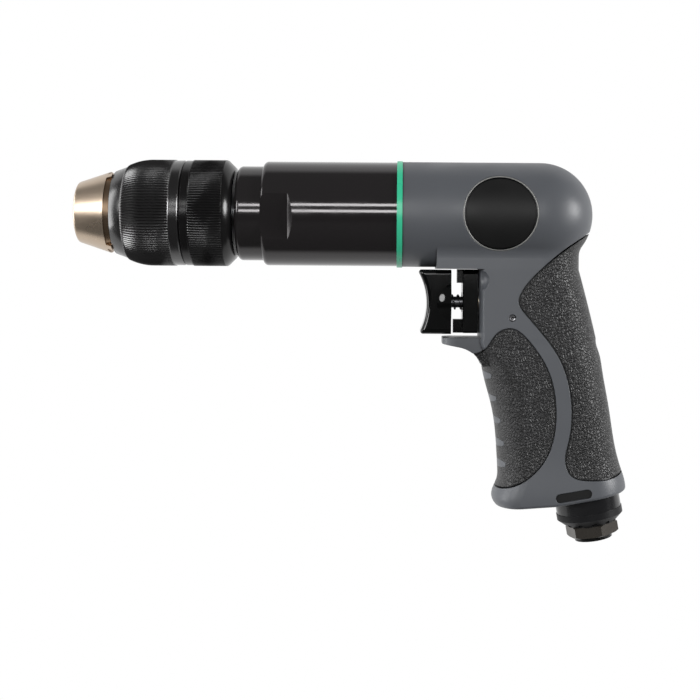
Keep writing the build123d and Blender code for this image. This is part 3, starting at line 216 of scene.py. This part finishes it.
# %% Group: fine grain
tree, start, end = start_group(
    "fine grain",
    {"Size": (FLOAT, 0.4), "Unevenness": (FLOAT, 0.1), "Colour": (COLOUR, (0.1, 0.1, 0.1, 1))},
    {"Colour": COLOUR, "Height": FLOAT},
)
place = add_node(tree, "ShaderNodeTexCoord")
per_size = add_node(tree, "ShaderNodeMath", {1: start.outputs["Size"]}, operation="DIVIDE")
per_size.inputs[0].default_value = 1 / mm
pebbles = add_node(
    tree, "ShaderNodeTexNoise", {"Vector": place.outputs["Object"], "Scale": per_size.outputs[0]}, Detail=2.0
)
clouds = add_node(tree, "ShaderNodeTexNoise", {"Vector": place.outputs["Object"]}, Scale=45.0, Detail=3.0)
shift = add_node(tree, "ShaderNodeMath", {0: clouds.outputs["Fac"]}, operation="SUBTRACT")
shift.inputs[1].default_value = 0.5
amount = add_node(
    tree, "ShaderNodeMath", {0: shift.outputs[0], 1: start.outputs["Unevenness"]}, operation="MULTIPLY"
)
bright = add_node(tree, "ShaderNodeMath", {0: amount.outputs[0]}, operation="ADD")
bright.inputs[1].default_value = 1.0
tint = add_node(
    tree, "ShaderNodeVectorMath", {0: start.outputs["Colour"], "Scale": bright.outputs[0]}, operation="SCALE"
)
tree.links.new(tint.outputs[0], end.inputs["Colour"])
tree.links.new(pebbles.outputs["Fac"], end.inputs["Height"])
fine_grain = tree
print("group", fine_grain.name)

# %% Group: turning rings
tree, start, end = start_group(
    "turning rings", {"Pitch": (FLOAT, 0.12), "Wander": (FLOAT, 0.02)}, {"Height": FLOAT}
)
place = add_node(tree, "ShaderNodeTexCoord")
along = add_node(tree, "ShaderNodeMath", {1: start.outputs["Pitch"]}, operation="DIVIDE")
along.inputs[0].default_value = 1 / mm
across = add_node(
    tree, "ShaderNodeMath", {0: along.outputs[0], 1: start.outputs["Wander"]}, operation="MULTIPLY"
)
stretch = add_node(
    tree, "ShaderNodeCombineXYZ", {0: along.outputs[0], 1: across.outputs[0], 2: across.outputs[0]}
)
scaled = add_node(
    tree, "ShaderNodeVectorMath", {0: place.outputs["Object"], 1: stretch.outputs[0]}, operation="MULTIPLY"
)
rings = add_node(tree, "ShaderNodeTexNoise", {"Vector": scaled.outputs[0]}, Scale=1.0, Detail=3.0)
tree.links.new(rings.outputs["Fac"], end.inputs["Height"])
turning_rings = tree
print("group", turning_rings.name)

# %% Group: smudges
tree, start, end = start_group("smudges", {"Low": (FLOAT, 0.3), "High": (FLOAT, 0.5)}, {"Roughness": FLOAT})
place = add_node(tree, "ShaderNodeTexCoord")
prints = add_node(tree, "ShaderNodeTexNoise", {"Vector": place.outputs["Object"]}, Scale=60.0, Detail=5.0)
spread = add_node(
    tree,
    "ShaderNodeMapRange",
    {"Value": prints.outputs["Fac"], "To Min": start.outputs["Low"], "To Max": start.outputs["High"]},
)
spread.inputs["From Min"].default_value = 0.35
spread.inputs["From Max"].default_value = 0.65
tree.links.new(spread.outputs[0], end.inputs["Roughness"])
smudges = tree
print("group", smudges.name)

# %% [markdown]
# ## The finishes
# Each finish is one Principled shader with an effect or two in front of it. The metals differ
# mostly in tint, gloss and the strength of their rings, so one function makes them all. The
# plastics share the grain. The rubber gets a recipe of its own.


# %% Turned metal
def place_group(tree, group, **values):
    """Put a node group in a material and set its inputs."""
    node = tree.nodes.new("ShaderNodeGroup")
    node.node_tree = group
    for name, value in values.items():
        node.inputs[name].default_value = value
    return node


def new_finish(name):
    """An empty material with its tree and shader."""
    material = bpy.data.materials.new(name)
    material.use_nodes = True
    return material, material.node_tree, material.node_tree.nodes["Principled BSDF"]


def raise_bumps(tree, shader, height, depth, edge=0):
    """Feed a height of a depth into the shader's normal, over edges rounded by a radius, in millimetres."""
    bump = add_node(tree, "ShaderNodeBump", {"Height": height}, Distance=depth * mm)
    if edge:
        rounded = add_node(tree, "ShaderNodeBevel", Radius=edge * mm, samples=4)
        tree.links.new(rounded.outputs["Normal"], bump.inputs["Normal"])
    tree.links.new(bump.outputs["Normal"], shader.inputs["Normal"])


def turned_metal(name, colour, low, high, pitch=0.12, depth=0.004, metallic=1.0, shine=0.5):
    """A metal with lathe rings round the drilling axis and a gloss that wanders a little."""
    material, tree, shader = new_finish(name)
    shader.inputs["Base Color"].default_value = (*colour, 1)
    shader.inputs["Metallic"].default_value = metallic
    shader.inputs["Specular IOR Level"].default_value = shine
    rings = place_group(tree, turning_rings, Pitch=pitch)
    gloss = place_group(tree, smudges, Low=low, High=high)
    tree.links.new(gloss.outputs["Roughness"], shader.inputs["Roughness"])
    raise_bumps(tree, shader, rings.outputs["Height"], depth)
    return material


nose_metal = turned_metal("nose_metal", (0.52, 0.42, 0.325), 0.26, 0.36, pitch=0.15, depth=0.004)
barrel_black = turned_metal(
    "barrel_black", (0.03, 0.027, 0.028), 0.08, 0.13, pitch=0.2, depth=0.003, metallic=0.5, shine=0.7
)
steel = turned_metal("steel", (0.55, 0.55, 0.57), 0.25, 0.4)
bearing_steel = turned_metal("bearing_steel", (0.72, 0.72, 0.74), 0.1, 0.2, depth=0.001)
wire_steel = turned_metal("wire_steel", (0.16, 0.16, 0.17), 0.3, 0.42, depth=0.001)
aluminium = turned_metal("aluminium", (0.62, 0.62, 0.64), 0.3, 0.45)
brass = turned_metal("brass", (0.62, 0.46, 0.22), 0.25, 0.4)
inlet_plating = turned_metal(
    "inlet_plating", (0.065, 0.058, 0.05), 0.24, 0.32, pitch=0.2, depth=0.001, metallic=0.5
)
print("metals", [m.name for m in bpy.data.materials if m.name != "floor_paint"])


# %% Moulded plastic
def paint_crevice_shade(tree, colour, reach):
    """Paint shade into a colour in grooves narrower than about a reach, in millimetres, from ambient
    occlusion.
    """
    open_share = add_node(tree, "ShaderNodeAmbientOcclusion", Distance=reach * mm, samples=8)
    shade_factor = add_node(tree, "ShaderNodeMath", {0: open_share.outputs["AO"]}, operation="POWER")
    shade_factor.inputs[1].default_value = 2.0
    shaded = add_node(tree, "ShaderNodeVectorMath", {0: colour, "Scale": shade_factor.outputs[0]}, operation="SCALE")
    return shaded.outputs[0]


def moulded(name, colour, low, high, size=0.35, depth=0.012, unevenness=0.12, shine=0.5, edge=0, crevice_shade=0):
    """A plastic or paint with a fine grain in its surface and slightly uneven colour."""
    material, tree, shader = new_finish(name)
    shader.inputs["Specular IOR Level"].default_value = shine
    grain = place_group(tree, fine_grain, Size=size, Unevenness=unevenness, Colour=(*colour, 1))
    gloss = place_group(tree, smudges, Low=low, High=high)
    tint = grain.outputs["Colour"]
    # Painted shade: the colour is darkened in narrow grooves.
    if crevice_shade:
        tint = paint_crevice_shade(tree, tint, crevice_shade)
    tree.links.new(tint, shader.inputs["Base Color"])
    tree.links.new(gloss.outputs["Roughness"], shader.inputs["Roughness"])
    raise_bumps(tree, shader, grain.outputs["Height"], depth, edge)
    return material


# The housing gets painted shade in its narrow grooves, such as those round the grip pads.
housing_grey = moulded("housing_grey", (0.094, 0.1, 0.111), 0.38, 0.48, edge=0.4, crevice_shade=1.0)
accent_green = moulded("accent_green", (0.045, 0.56, 0.31), 0.25, 0.35, depth=0.004)
chuck_black = moulded("chuck_black", (0.008, 0.0075, 0.0078), 0.18, 0.26, size=0.15, depth=0.001, shine=0.8)
ring_black = moulded("ring_black", (0.006, 0.0057, 0.0059), 0.16, 0.24, size=0.15, depth=0.001, shine=0.3)
trigger_black = moulded("trigger_black", (0.002, 0.0022, 0.0022), 0.06, 0.1, depth=0.001, shine=0.35)
lever_black = moulded("lever_black", (0.003, 0.0032, 0.0032), 0.08, 0.14, depth=0.002, shine=0.3)
collar_black = moulded("collar_black", (0.012, 0.012, 0.013), 0.14, 0.22, depth=0.003)
ring_rubber = moulded("ring_rubber", (0.012, 0.012, 0.013), 0.4, 0.5, shine=0.15)
# A lighter grey than the housing: a painted highlight on the badges' rounded rims.
rim_highlight_grey = moulded("rim_highlight_grey", (0.28, 0.28, 0.27), 0.3, 0.4)
badge_dark = moulded("badge_dark", (0.009, 0.009, 0.009), 0.42, 0.52, depth=0.004, shine=0.3)
vane_resin = moulded("vane_resin", (0.3, 0.16, 0.07), 0.4, 0.5)
felt = moulded("felt", (0.5, 0.48, 0.43), 0.85, 0.95, size=0.25, depth=0.15)
seal_rubber = moulded("seal_rubber", (0.02, 0.02, 0.02), 0.5, 0.6)
print("plastics and paints", housing_grey.name, accent_green.name, trigger_black.name)

# %% [markdown]
# ## Plated in front, black behind
# The nose of the chuck is bright, but the back of the same solid is black, and so is the short rim
# below the plated hexagon of the air inlet. The finish itself has to know where the black begins.
# The distance along an axis tells the two ends of a solid apart.


# %% Black ends
def lay_over(material, mask, colour):
    """Lay a plain colour over a finish's own colour where a mask is one."""
    tree = material.node_tree
    base = tree.nodes["Principled BSDF"].inputs["Base Color"]
    tint = add_node(tree, "ShaderNodeMix", {"Factor": mask}, data_type="RGBA")
    if base.is_linked:
        tree.links.new(base.links[0].from_socket, tint.inputs["A"])
    else:
        tint.inputs["A"].default_value = base.default_value
    tint.inputs["B"].default_value = (*colour, 1)
    tree.links.new(tint.outputs["Result"], base)


end_black = (0.008, 0.008, 0.008)


def blacken_beyond(material, axis, start):
    """Make a finish black beyond a distance, in millimetres, along an axis of the object."""
    tree = material.node_tree
    place = add_node(tree, "ShaderNodeTexCoord")
    reach = add_node(tree, "ShaderNodeVectorMath", {0: place.outputs["Object"]}, operation="DOT_PRODUCT")
    reach.inputs[1].default_value = axis
    beyond = add_node(tree, "ShaderNodeMath", {0: reach.outputs["Value"]}, operation="GREATER_THAN")
    beyond.inputs[1].default_value = start * mm
    lay_over(material, beyond.outputs[0], end_black)


handle_lean = math.radians(10)
inlet_axis = Vector((math.sin(handle_lean), 0, -math.cos(handle_lean)))
inlet_origin, rim_depth = Vector((208.8, 0, -114.4)), 16.15
rim_start = inlet_axis.dot(inlet_origin) + rim_depth
blacken_beyond(inlet_plating, inlet_axis, rim_start)
print("inlet rim starts", round(rim_start, 2), "mm along its axis")

# %% [markdown]
# ## Shaded bands on the nose
# Three shallow bands are cut into the back of the nose cone, and their floors get a darker brown than the
# polished cone: painted shade in the grooves. They lie deeper than the cone, so the distance below the cone's
# surface, worked out from the station and the radius, tells the finish where they are. The bore lies deep too
# and takes the same painted shade. The back of the solid lies deep as well, so its black is laid over the
# painted shade last.

# %% Painted shade on the floors of the bands and the bore, then the black back
front_radius, cone_slope = 12.3, math.tan(math.radians(18.4))
band_depth, band_shade_brown, black_from = 0.3, (0.3, 0.21, 0.14), 30
tree = nose_metal.node_tree
place = add_node(tree, "ShaderNodeTexCoord")
split = add_node(tree, "ShaderNodeSeparateXYZ", {0: place.outputs["Object"]})
across = add_node(tree, "ShaderNodeCombineXYZ", {1: split.outputs["Y"], 2: split.outputs["Z"]})
radius = add_node(tree, "ShaderNodeVectorMath", {0: across.outputs[0]}, operation="LENGTH")
at_front = add_node(
    tree, "ShaderNodeMath", {0: split.outputs["X"], 2: radius.outputs["Value"]}, operation="MULTIPLY_ADD"
)
at_front.inputs[1].default_value = -cone_slope
sunk_shade = add_node(tree, "ShaderNodeMath", {0: at_front.outputs[0]}, operation="LESS_THAN")
sunk_shade.inputs[1].default_value = (front_radius - band_depth) * mm
# Painted shade: everything sunk below the cone gets a darker brown.
lay_over(nose_metal, sunk_shade.outputs[0], band_shade_brown)
blacken_beyond(nose_metal, (1, 0, 0), black_from)
print("bands lie", band_depth, "mm or more below the cone")

# %% [markdown]
# ## Leather-grained rubber
# The grip pads are rubber with a grain like leather: rounded islands parted by a net of narrow creases.
# Voronoi cells make the islands, and the distance to their edges makes the creases. The creases are also
# painted darker than the islands, as painted shade. A little noise bends the cells first, because plain cells
# look like cracked mud.

# %% Grip rubber
grip_rubber, tree, shader = new_finish("grip_rubber")
place = add_node(tree, "ShaderNodeTexCoord")
bend = add_node(tree, "ShaderNodeTexNoise", {"Vector": place.outputs["Object"]}, Scale=420.0, Detail=2.0)
push = add_node(tree, "ShaderNodeVectorMath", {0: bend.outputs["Color"]}, operation="SCALE", Scale=mm)
bent = add_node(
    tree, "ShaderNodeVectorMath", {0: place.outputs["Object"], 1: push.outputs[0]}, operation="ADD"
)
islands = add_node(
    tree, "ShaderNodeTexVoronoi", {"Vector": bent.outputs[0]}, feature="DISTANCE_TO_EDGE", Scale=850.0
)
crease_and_shade = add_node(tree, "ShaderNodeMapRange", {"Value": islands.outputs["Distance"]})
crease_and_shade.inputs["From Max"].default_value = 0.22
fine = add_node(tree, "ShaderNodeTexNoise", {"Vector": place.outputs["Object"]}, Scale=2600.0, Detail=2.0)
relief = add_node(
    tree, "ShaderNodeMath", {0: crease_and_shade.outputs[0], 2: fine.outputs["Fac"]}, operation="MULTIPLY_ADD"
)
relief.inputs[1].default_value = 1.6
# Painted shade: the creases get a darker colour than the islands.
shade = add_node(tree, "ShaderNodeMix", {"Factor": crease_and_shade.outputs[0]}, data_type="RGBA")
shade.inputs["A"].default_value = (0.004, 0.004, 0.004, 1)
shade.inputs["B"].default_value = (0.024, 0.024, 0.025, 1)
tree.links.new(shade.outputs["Result"], shader.inputs["Base Color"])
shader.inputs["Roughness"].default_value = 0.42
raise_bumps(tree, shader, relief.outputs[0], 0.1)
print("rubber", grip_rubber.name)

# %% [markdown]
# ## Dress the solids
# Most of the solids keep their shape, so they only need a finish. The table names each node's
# finish, and the slots of the imported meshes are filled from it.

# %% Give every node its finish
in_threes = ("chuck_jaw", "output_planet", "input_planet")
finishes = {
    nose_metal: ["chuck_body"],
    barrel_black: ["gear_case", "front_cap"],
    steel: [
        *(f"{kind}_{number}" for kind in in_threes for number in (1, 2, 3)),
        "chuck_nut", "chuck_screw", "spindle", "output_planet_pins", "ring_gear", "planet_carrier",
        "input_planet_pins", "front_end_plate", "rear_end_plate", "motor_cylinder", "motor_dowel", "rotor",
        "inlet_screen",
    ],
    bearing_steel: [
        "chuck_thrust_race", "chuck_thrust_balls", "spindle_bearing_outer", "spindle_bearing_inner",
        "spindle_bearing_balls", "rotor_bearing_outers", "rotor_bearing_inners", "rotor_bearing_balls",
    ],
    wire_steel: ["spindle_snap_ring", "trigger_stem", "valve_bushing"],
    aluminium: ["gear_spacer"],
    brass: ["reverse_valve", "throttle_valve"],
    inlet_plating: ["inlet_bushing"],
    housing_grey: ["housing"],
    accent_green: ["accent_ring"],
    trigger_black: ["trigger"],
    lever_black: ["reverse_lever"],
    collar_black: ["exhaust_collar"],
    ring_rubber: ["exhaust_ring"],
    vane_resin: ["vanes"],
    felt: ["muffler"],
    seal_rubber: ["spindle_seal", "motor_gasket", "bushing_o_rings"],
    grip_rubber: ["front_grip", "rear_grip"],
}
for finish, names in finishes.items():
    for name in names:
        nodes[name].data.materials.clear()
        nodes[name].data.materials.append(finish)
dressed = sum(len(names) for names in finishes.values())
print("dressed", dressed, "of", len(nodes))

# %% [markdown]
# ## The knurled chuck
# The sleeve and the rear ring of the chuck are knurled: more than a hundred straight flutes run
# along them, and on the sleeve they follow the crown down towards the nose. Array modifiers could
# repeat one flute, but they would have to bend with the crown. It is simpler to draw half the
# outline, spin it round the axis, and then press every fourth column of vertices inwards and its
# neighbours a little, which leaves round ridges. The teeth rise in a curve out of the smooth cone
# in front of them, so that their ends catch light.


# %% Helper: from a bmesh to a finished piece
def finish_piece(bm, name, body, finish, replaced=(), smooth_angle=40):
    """Close and orient a bmesh, make it an object, and tie it to a body of the frame."""
    bmesh.ops.remove_doubles(bm, verts=bm.verts, dist=1e-7)
    bmesh.ops.recalc_face_normals(bm, faces=bm.faces)
    mesh = bpy.data.meshes.new(name)
    for face in bm.faces:
        face.smooth = True
    for edge in bm.edges:
        edge.smooth = edge.calc_face_angle(0) < math.radians(smooth_angle)
    bm.to_mesh(mesh)
    bm.free()
    mesh.materials.append(finish)
    piece = bpy.data.objects.new(name, mesh)
    bpy.context.scene.collection.objects.link(piece)
    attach(piece, body)
    if replaced:
        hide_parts(*replaced)
    return piece


# %% Helper: a turned outline with flutes
flute_shares = (1, 0.3, 0, 0.3)
flute_steps = len(flute_shares)
print("columns in one flute", flute_steps)


def draw_outline(bm, corners):
    """A closed loop of edges in the XZ plane through (station, radius) corners in millimetres."""
    verts = [bm.verts.new((station * mm, 0, radius * mm)) for station, radius in corners]
    for first, second in zip(verts, verts[1:] + verts[:1]):
        bm.edges.new((first, second))


def spin_round(bm, steps):
    """Spin everything drawn so far once round the drilling axis."""
    drawn = bm.verts[:] + bm.edges[:]
    bmesh.ops.spin(
        bm, geom=drawn, cent=(0, 0, 0), axis=(1, 0, 0), angle=math.tau, steps=steps, use_merge=True
    )
    bmesh.ops.remove_doubles(bm, verts=bm.verts, dist=1e-7)


def press_flutes(bm, count, start, end, outside_from, floor_at):
    """Press flutes with round ridges into the outside between two stations, down to a floor."""
    for vert in bm.verts:
        station, radius = vert.co.x / mm, math.hypot(vert.co.y, vert.co.z) / mm
        if radius < outside_from or not start < station < end:
            continue
        turn = math.atan2(vert.co.y, vert.co.z) / math.tau * count * flute_steps
        share = flute_shares[round(turn) % flute_steps]
        vert.co.yz = vert.co.yz * (1 - share + share * floor_at(station, radius) / radius)


# %% Chuck sleeve
sleeve_low, sleeve_high = (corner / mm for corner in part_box("chuck_sleeve"))
front, back, outside = sleeve_low.x, sleeve_high.x, sleeve_high.z
cone_foot, cone_angle, crown, crown_steps = 17.5, math.radians(20.5), 22.0, 8
crown_end = front + (outside - cone_foot) / math.tan(cone_angle) + crown * math.tan(cone_angle / 2)
crown_angles = [cone_angle * step / crown_steps for step in range(crown_steps, -1, -1)]
arc = [
    (crown_end - crown * math.sin(angle), outside - crown * (1 - math.cos(angle))) for angle in crown_angles
]
knurl_front, knurl_middle, knurl_back = 20.2, 34.0, 39.6
tooth_rise, tooth_end, tooth_power = 0.55, 1.4, 2.2
sleeve_bore, nut_pocket, pocket_front, nose_edge = 16.3, 19.05, 23.7, 0.3
band_drop, edge_drop, edge_run = 0.25, 0.7, 0.5
flute_count, outside_from = 114, 18


def on_cone(station):
    """The sleeve's radius on its front cone."""
    return cone_foot + (station - front) * math.tan(cone_angle)


def tooth_floor(station, radius):
    """The bottom of the flutes, which runs on from the smooth cone in front of them."""
    surface = on_cone(station) if station < knurl_front + tooth_end else radius
    return surface - tooth_rise


tooth_curve = []
for share in (0, 0.15, 0.35, 0.6, 1):
    station = knurl_front + share * tooth_end
    tooth_curve.append((station, on_cone(station) - tooth_rise * (1 - share) ** tooth_power))
bm = bmesh.new()
draw_outline(
    bm,
    [
        (front, sleeve_bore),
        (front, cone_foot - nose_edge - tooth_rise),
        (front + nose_edge, on_cone(front + nose_edge) - tooth_rise),
        (knurl_front - 0.15, on_cone(knurl_front - 0.15) - tooth_rise),
        *tooth_curve,
        *arc,
        (knurl_middle, outside),
        (knurl_back - 0.3, outside),
        (knurl_back + 0.1, outside),
        (knurl_back + 0.35, outside - band_drop),
        (back - edge_run, outside - band_drop),
        (back, outside - edge_drop),
        (back, nut_pocket),
        (pocket_front, nut_pocket),
        (pocket_front, sleeve_bore),
    ],
)
spin_round(bm, flute_count * flute_steps)
press_flutes(bm, flute_count, knurl_front + 0.01, knurl_back, outside_from, tooth_floor)
sleeve = finish_piece(bm, "knurled_sleeve", "sleeve", chuck_black, ["chuck_sleeve"], 35)
print("sleeve faces", len(sleeve.data.polygons))

# %% Chuck rear ring
ring_low, ring_high = (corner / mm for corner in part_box("chuck_rear_ring"))
front, back, outside = ring_low.x, ring_high.x, ring_high.z
knurl_front, knurl_middle, knurl_back = 47.2, 54.0, 60.7
flute_count, flute_depth = 124, 0.35
ring_bore, chamfer, chamfer_round = 17.05, 3.3, 0.5
bm = bmesh.new()
draw_outline(
    bm,
    [
        (front, ring_bore),
        (front, outside - edge_drop),
        (front + edge_run, outside - band_drop),
        (knurl_front - 0.2, outside - band_drop),
        (knurl_front, outside),
        (knurl_front + 0.25, outside),
        (knurl_front + 0.5, outside),
        (knurl_middle, outside),
        (knurl_back - 0.3, outside),
        (knurl_back, outside),
        (back - chamfer - chamfer_round, outside),
        (back - chamfer + chamfer_round / 3, outside - chamfer_round / 2),
        (back - chamfer_round / 2, outside - chamfer + chamfer_round / 3),
        (back, outside - chamfer - chamfer_round),
        (back, ring_bore),
    ],
)
spin_round(bm, flute_count * flute_steps)
press_flutes(
    bm,
    flute_count,
    knurl_front + 0.3,
    knurl_back - 0.1,
    outside_from,
    lambda station, radius: radius - flute_depth,
)
rear_ring = finish_piece(
    bm, "knurled_rear_ring", "spindle", ring_black, ["chuck_rear_ring"], 30
)
print("rear ring faces", len(rear_ring.data.polygons))

# %% [markdown]
# ## Springs
# The trigger's return spring shows between the trigger and the reversing lever. A spring is a small circle
# spun round an axis while it moves along it, which the spin operator does when it is given a step. When the
# trigger is pressed the spring has to get shorter; here each coil only gets a mesh of its own, and nothing
# tells it to squash.


# %% Coil springs
wire_sides, steps_per_turn = 12, 32


def coil(name, start, end, wire, coil_radius, turns, height, replaced):
    """A coil of wire along X at a height, between the centres of its first and last turns."""
    steps = round(turns * steps_per_turn)
    bm = bmesh.new()
    made = bmesh.ops.create_circle(bm, segments=wire_sides, radius=wire * mm)
    bmesh.ops.rotate(bm, verts=made["verts"], matrix=Matrix.Rotation(math.radians(90), 3, "Y"))
    bmesh.ops.rotate(bm, verts=made["verts"], matrix=Matrix.Rotation(math.radians(90), 3, "Z"))
    bmesh.ops.translate(bm, verts=made["verts"], vec=(start * mm, 0, (height + coil_radius) * mm))
    ends = bm.edges[:]
    spun = bmesh.ops.spin(
        bm,
        geom=bm.verts[:] + ends,
        cent=(0, 0, height * mm),
        axis=(1, 0, 0),
        dvec=((end - start) / steps * mm, 0, 0),
        angle=math.tau * turns,
        steps=steps,
        use_merge=False,
    )
    last = [part for part in spun["geom_last"] if isinstance(part, bmesh.types.BMEdge)]
    bmesh.ops.edgeloop_fill(bm, edges=ends)
    bmesh.ops.edgeloop_fill(bm, edges=last)
    return finish_piece(bm, name, "handle", wire_steel, [replaced], 60)


trigger_travel, spring_turns = 4.2, 4.5
spring_front, spring_back, stem_height = 145.8, 156.65, -35.8
trigger_coil = coil(
    "trigger_coil", spring_front, spring_back, 0.35, 2.85, spring_turns, stem_height, "trigger_spring"
)
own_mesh(trigger_coil)
valve_front, valve_back = 193.15, 202.45
valve_coil = coil(
    "valve_coil", valve_front, valve_back, 0.3, 2.5, spring_turns, stem_height, "throttle_spring"
)
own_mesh(valve_coil)

# %% [markdown]
# ## Roll pin
# The small pin across the handle is rolled from spring steel, so it is a tube with a slit. The
# outline of its wall, as long as the pin and spun not quite the whole way round, makes exactly that.

# %% Roll pin
pin_low, pin_high = (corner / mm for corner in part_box("retaining_pin"))
pin_x, pin_z = (pin_low.x + pin_high.x) / 2, (pin_low.z + pin_high.z) / 2
pin_radius = (pin_high.x - pin_low.x) / 2
pin_bore, pin_face, inner_edge, outer_edge = pin_radius * 0.4, pin_radius * 0.8, 0.2, 0.25
slit = math.radians(25)
bm = bmesh.new()
corners = [
    bm.verts.new(((pin_x + radius) * mm, side * mm, pin_z * mm))
    for radius, side in (
        (pin_bore, pin_low.y + inner_edge),
        (pin_face, pin_low.y),
        (pin_radius, pin_low.y + outer_edge),
        (pin_radius, pin_high.y - outer_edge),
        (pin_face, pin_high.y),
        (pin_bore, pin_high.y - inner_edge),
    )
]
section = bm.faces.new(corners)
bmesh.ops.spin(
    bm,
    geom=[section, *section.edges, *section.verts],
    cent=(pin_x * mm, 0, pin_z * mm),
    axis=(0, 1, 0),
    angle=math.tau - slit,
    steps=30,
    use_merge=False,
)
roll_pin = finish_piece(bm, "roll_pin", "handle", steel, ["retaining_pin"], 30)
print("pin faces", len(roll_pin.data.polygons))

# %% [markdown]
# ## Side badges and base plates
# A round badge is let into each side of the barrel. It follows the barrel's curve, and a narrow rim with a
# groove inside it frames the bare dark face. The rim is painted a lighter grey than the housing, as a painted
# highlight on its rounded edge. A disc of concentric rings is made by insetting one round face again and
# again, and is then laid on the curve ring by ring. The rim is made the same way. The base has a small bare
# plate in a slot on each side.

# %% Helper: lay flat rings on the barrel
badge_low, badge_high = (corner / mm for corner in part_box("badges"))
barrel_radius = badge_high.y
badge_centre, badge_radius = (badge_low.x + badge_high.x) / 2, badge_high.z
rim_width, rim_gap = 0.5, 0.55
print("badge radius", round(badge_radius, 2), "on a barrel of", round(barrel_radius, 2), "mm")


def round_face(bm, radius, widths):
    """A flat disc over the badge's centre, inset again and again; returns its verts and last face."""
    disc = bmesh.ops.create_circle(bm, cap_ends=True, segments=128, radius=radius * mm)
    bmesh.ops.rotate(bm, verts=disc["verts"], matrix=Matrix.Rotation(math.radians(90), 3, "X"))
    bmesh.ops.translate(bm, verts=disc["verts"], vec=(badge_centre * mm, 0, 0))
    face = disc["verts"][0].link_faces[0]
    verts = set(disc["verts"])
    for width in widths:
        made = bmesh.ops.inset_region(
            bm, faces=[face], thickness=width * mm, use_boundary=True, use_even_offset=True
        )
        verts.update(vert for ring in made["faces"] for vert in ring.verts)
    return verts, face


def lay_on_barrel(verts, depth_at, side):
    """Move flat verts of the XZ plane to the barrel, each to its own depth below the surface."""
    for vert in verts:
        radius = barrel_radius - depth_at(math.hypot(vert.co.x / mm - badge_centre, vert.co.z / mm))
        vert.co.y = side * math.sqrt(radius**2 - (vert.co.z / mm) ** 2) * mm


def close_sheet(bm, verts):
    """Give a sheet walls and a second face; returns the verts of that face, still to be moved."""
    sheet = list({face for vert in verts for face in vert.link_faces})
    walls = bmesh.ops.extrude_face_region(bm, geom=sheet, use_keep_orig=True)
    return [part for part in walls["geom"] if isinstance(part, bmesh.types.BMVert)]


# %% Badge faces and rims
face_radius, back_depth, near = badge_radius - rim_width - rim_gap, 1.1, 0.1
face_depth, edge_depth, face_rings = 0.35, 0.6, (0.3, *[1.25] * 10)
rim_crest, rim_foot, rim_rings = 0.02, 0.2, (rim_width * 0.35, rim_width * 0.3, rim_width * 0.35)
bm = bmesh.new()
for side in (-1, 1):
    verts, _ = round_face(bm, face_radius, face_rings)
    lay_on_barrel(verts, lambda out: edge_depth if out > face_radius - near else face_depth, side)
    lay_on_barrel(close_sheet(bm, verts), lambda out: back_depth, side)
badges = finish_piece(bm, "side_badges", "handle", badge_dark, ["badges"], 25)

bm = bmesh.new()
for side in (-1, 1):
    verts, middle = round_face(bm, badge_radius, rim_rings)
    bmesh.ops.delete(bm, geom=[middle], context="FACES_ONLY")
    crest_radius = badge_radius - rim_width / 2
    lay_on_barrel(verts, lambda out: rim_crest if abs(crest_radius - out) < near else rim_foot, side)
    lay_on_barrel(close_sheet(bm, verts), lambda out: back_depth, side)
# The rims carry the painted highlight grey.
rims = finish_piece(bm, "badge_rims", "handle", rim_highlight_grey, smooth_angle=60)
print("badge faces", len(badges.data.polygons), "rim faces", len(rims.data.polygons))

# %% Base plates
plate_length, plate_height, plate_floor, plate_thickness = 14.0, 3.0, 15.92, 0.25
plate_x, plate_z = 201.55, -112.4
bm = bmesh.new()
for side in (-1, 1):
    outline = bmesh.ops.create_circle(bm, cap_ends=True, segments=48, radius=plate_height / 2 * mm)["verts"]
    for end in (-1, 1):
        half = [vert for vert in outline if vert.co.x * end > 1e-9]
        bmesh.ops.translate(bm, verts=half, vec=(end * (plate_length - plate_height) / 2 * mm, 0, 0))
    bmesh.ops.rotate(bm, verts=outline, matrix=Matrix.Rotation(math.radians(90), 3, "X"))
    bmesh.ops.rotate(bm, verts=outline, matrix=Matrix.Rotation(-handle_lean, 3, "Y"))
    bmesh.ops.translate(bm, verts=outline, vec=(plate_x * mm, side * plate_floor * mm, plate_z * mm))
    bmesh.ops.translate(bm, verts=close_sheet(bm, outline), vec=(0, side * plate_thickness * mm, 0))
plates = finish_piece(bm, "base_plates", "handle", badge_dark, smooth_angle=30)
print("plate faces", len(plates.data.polygons))
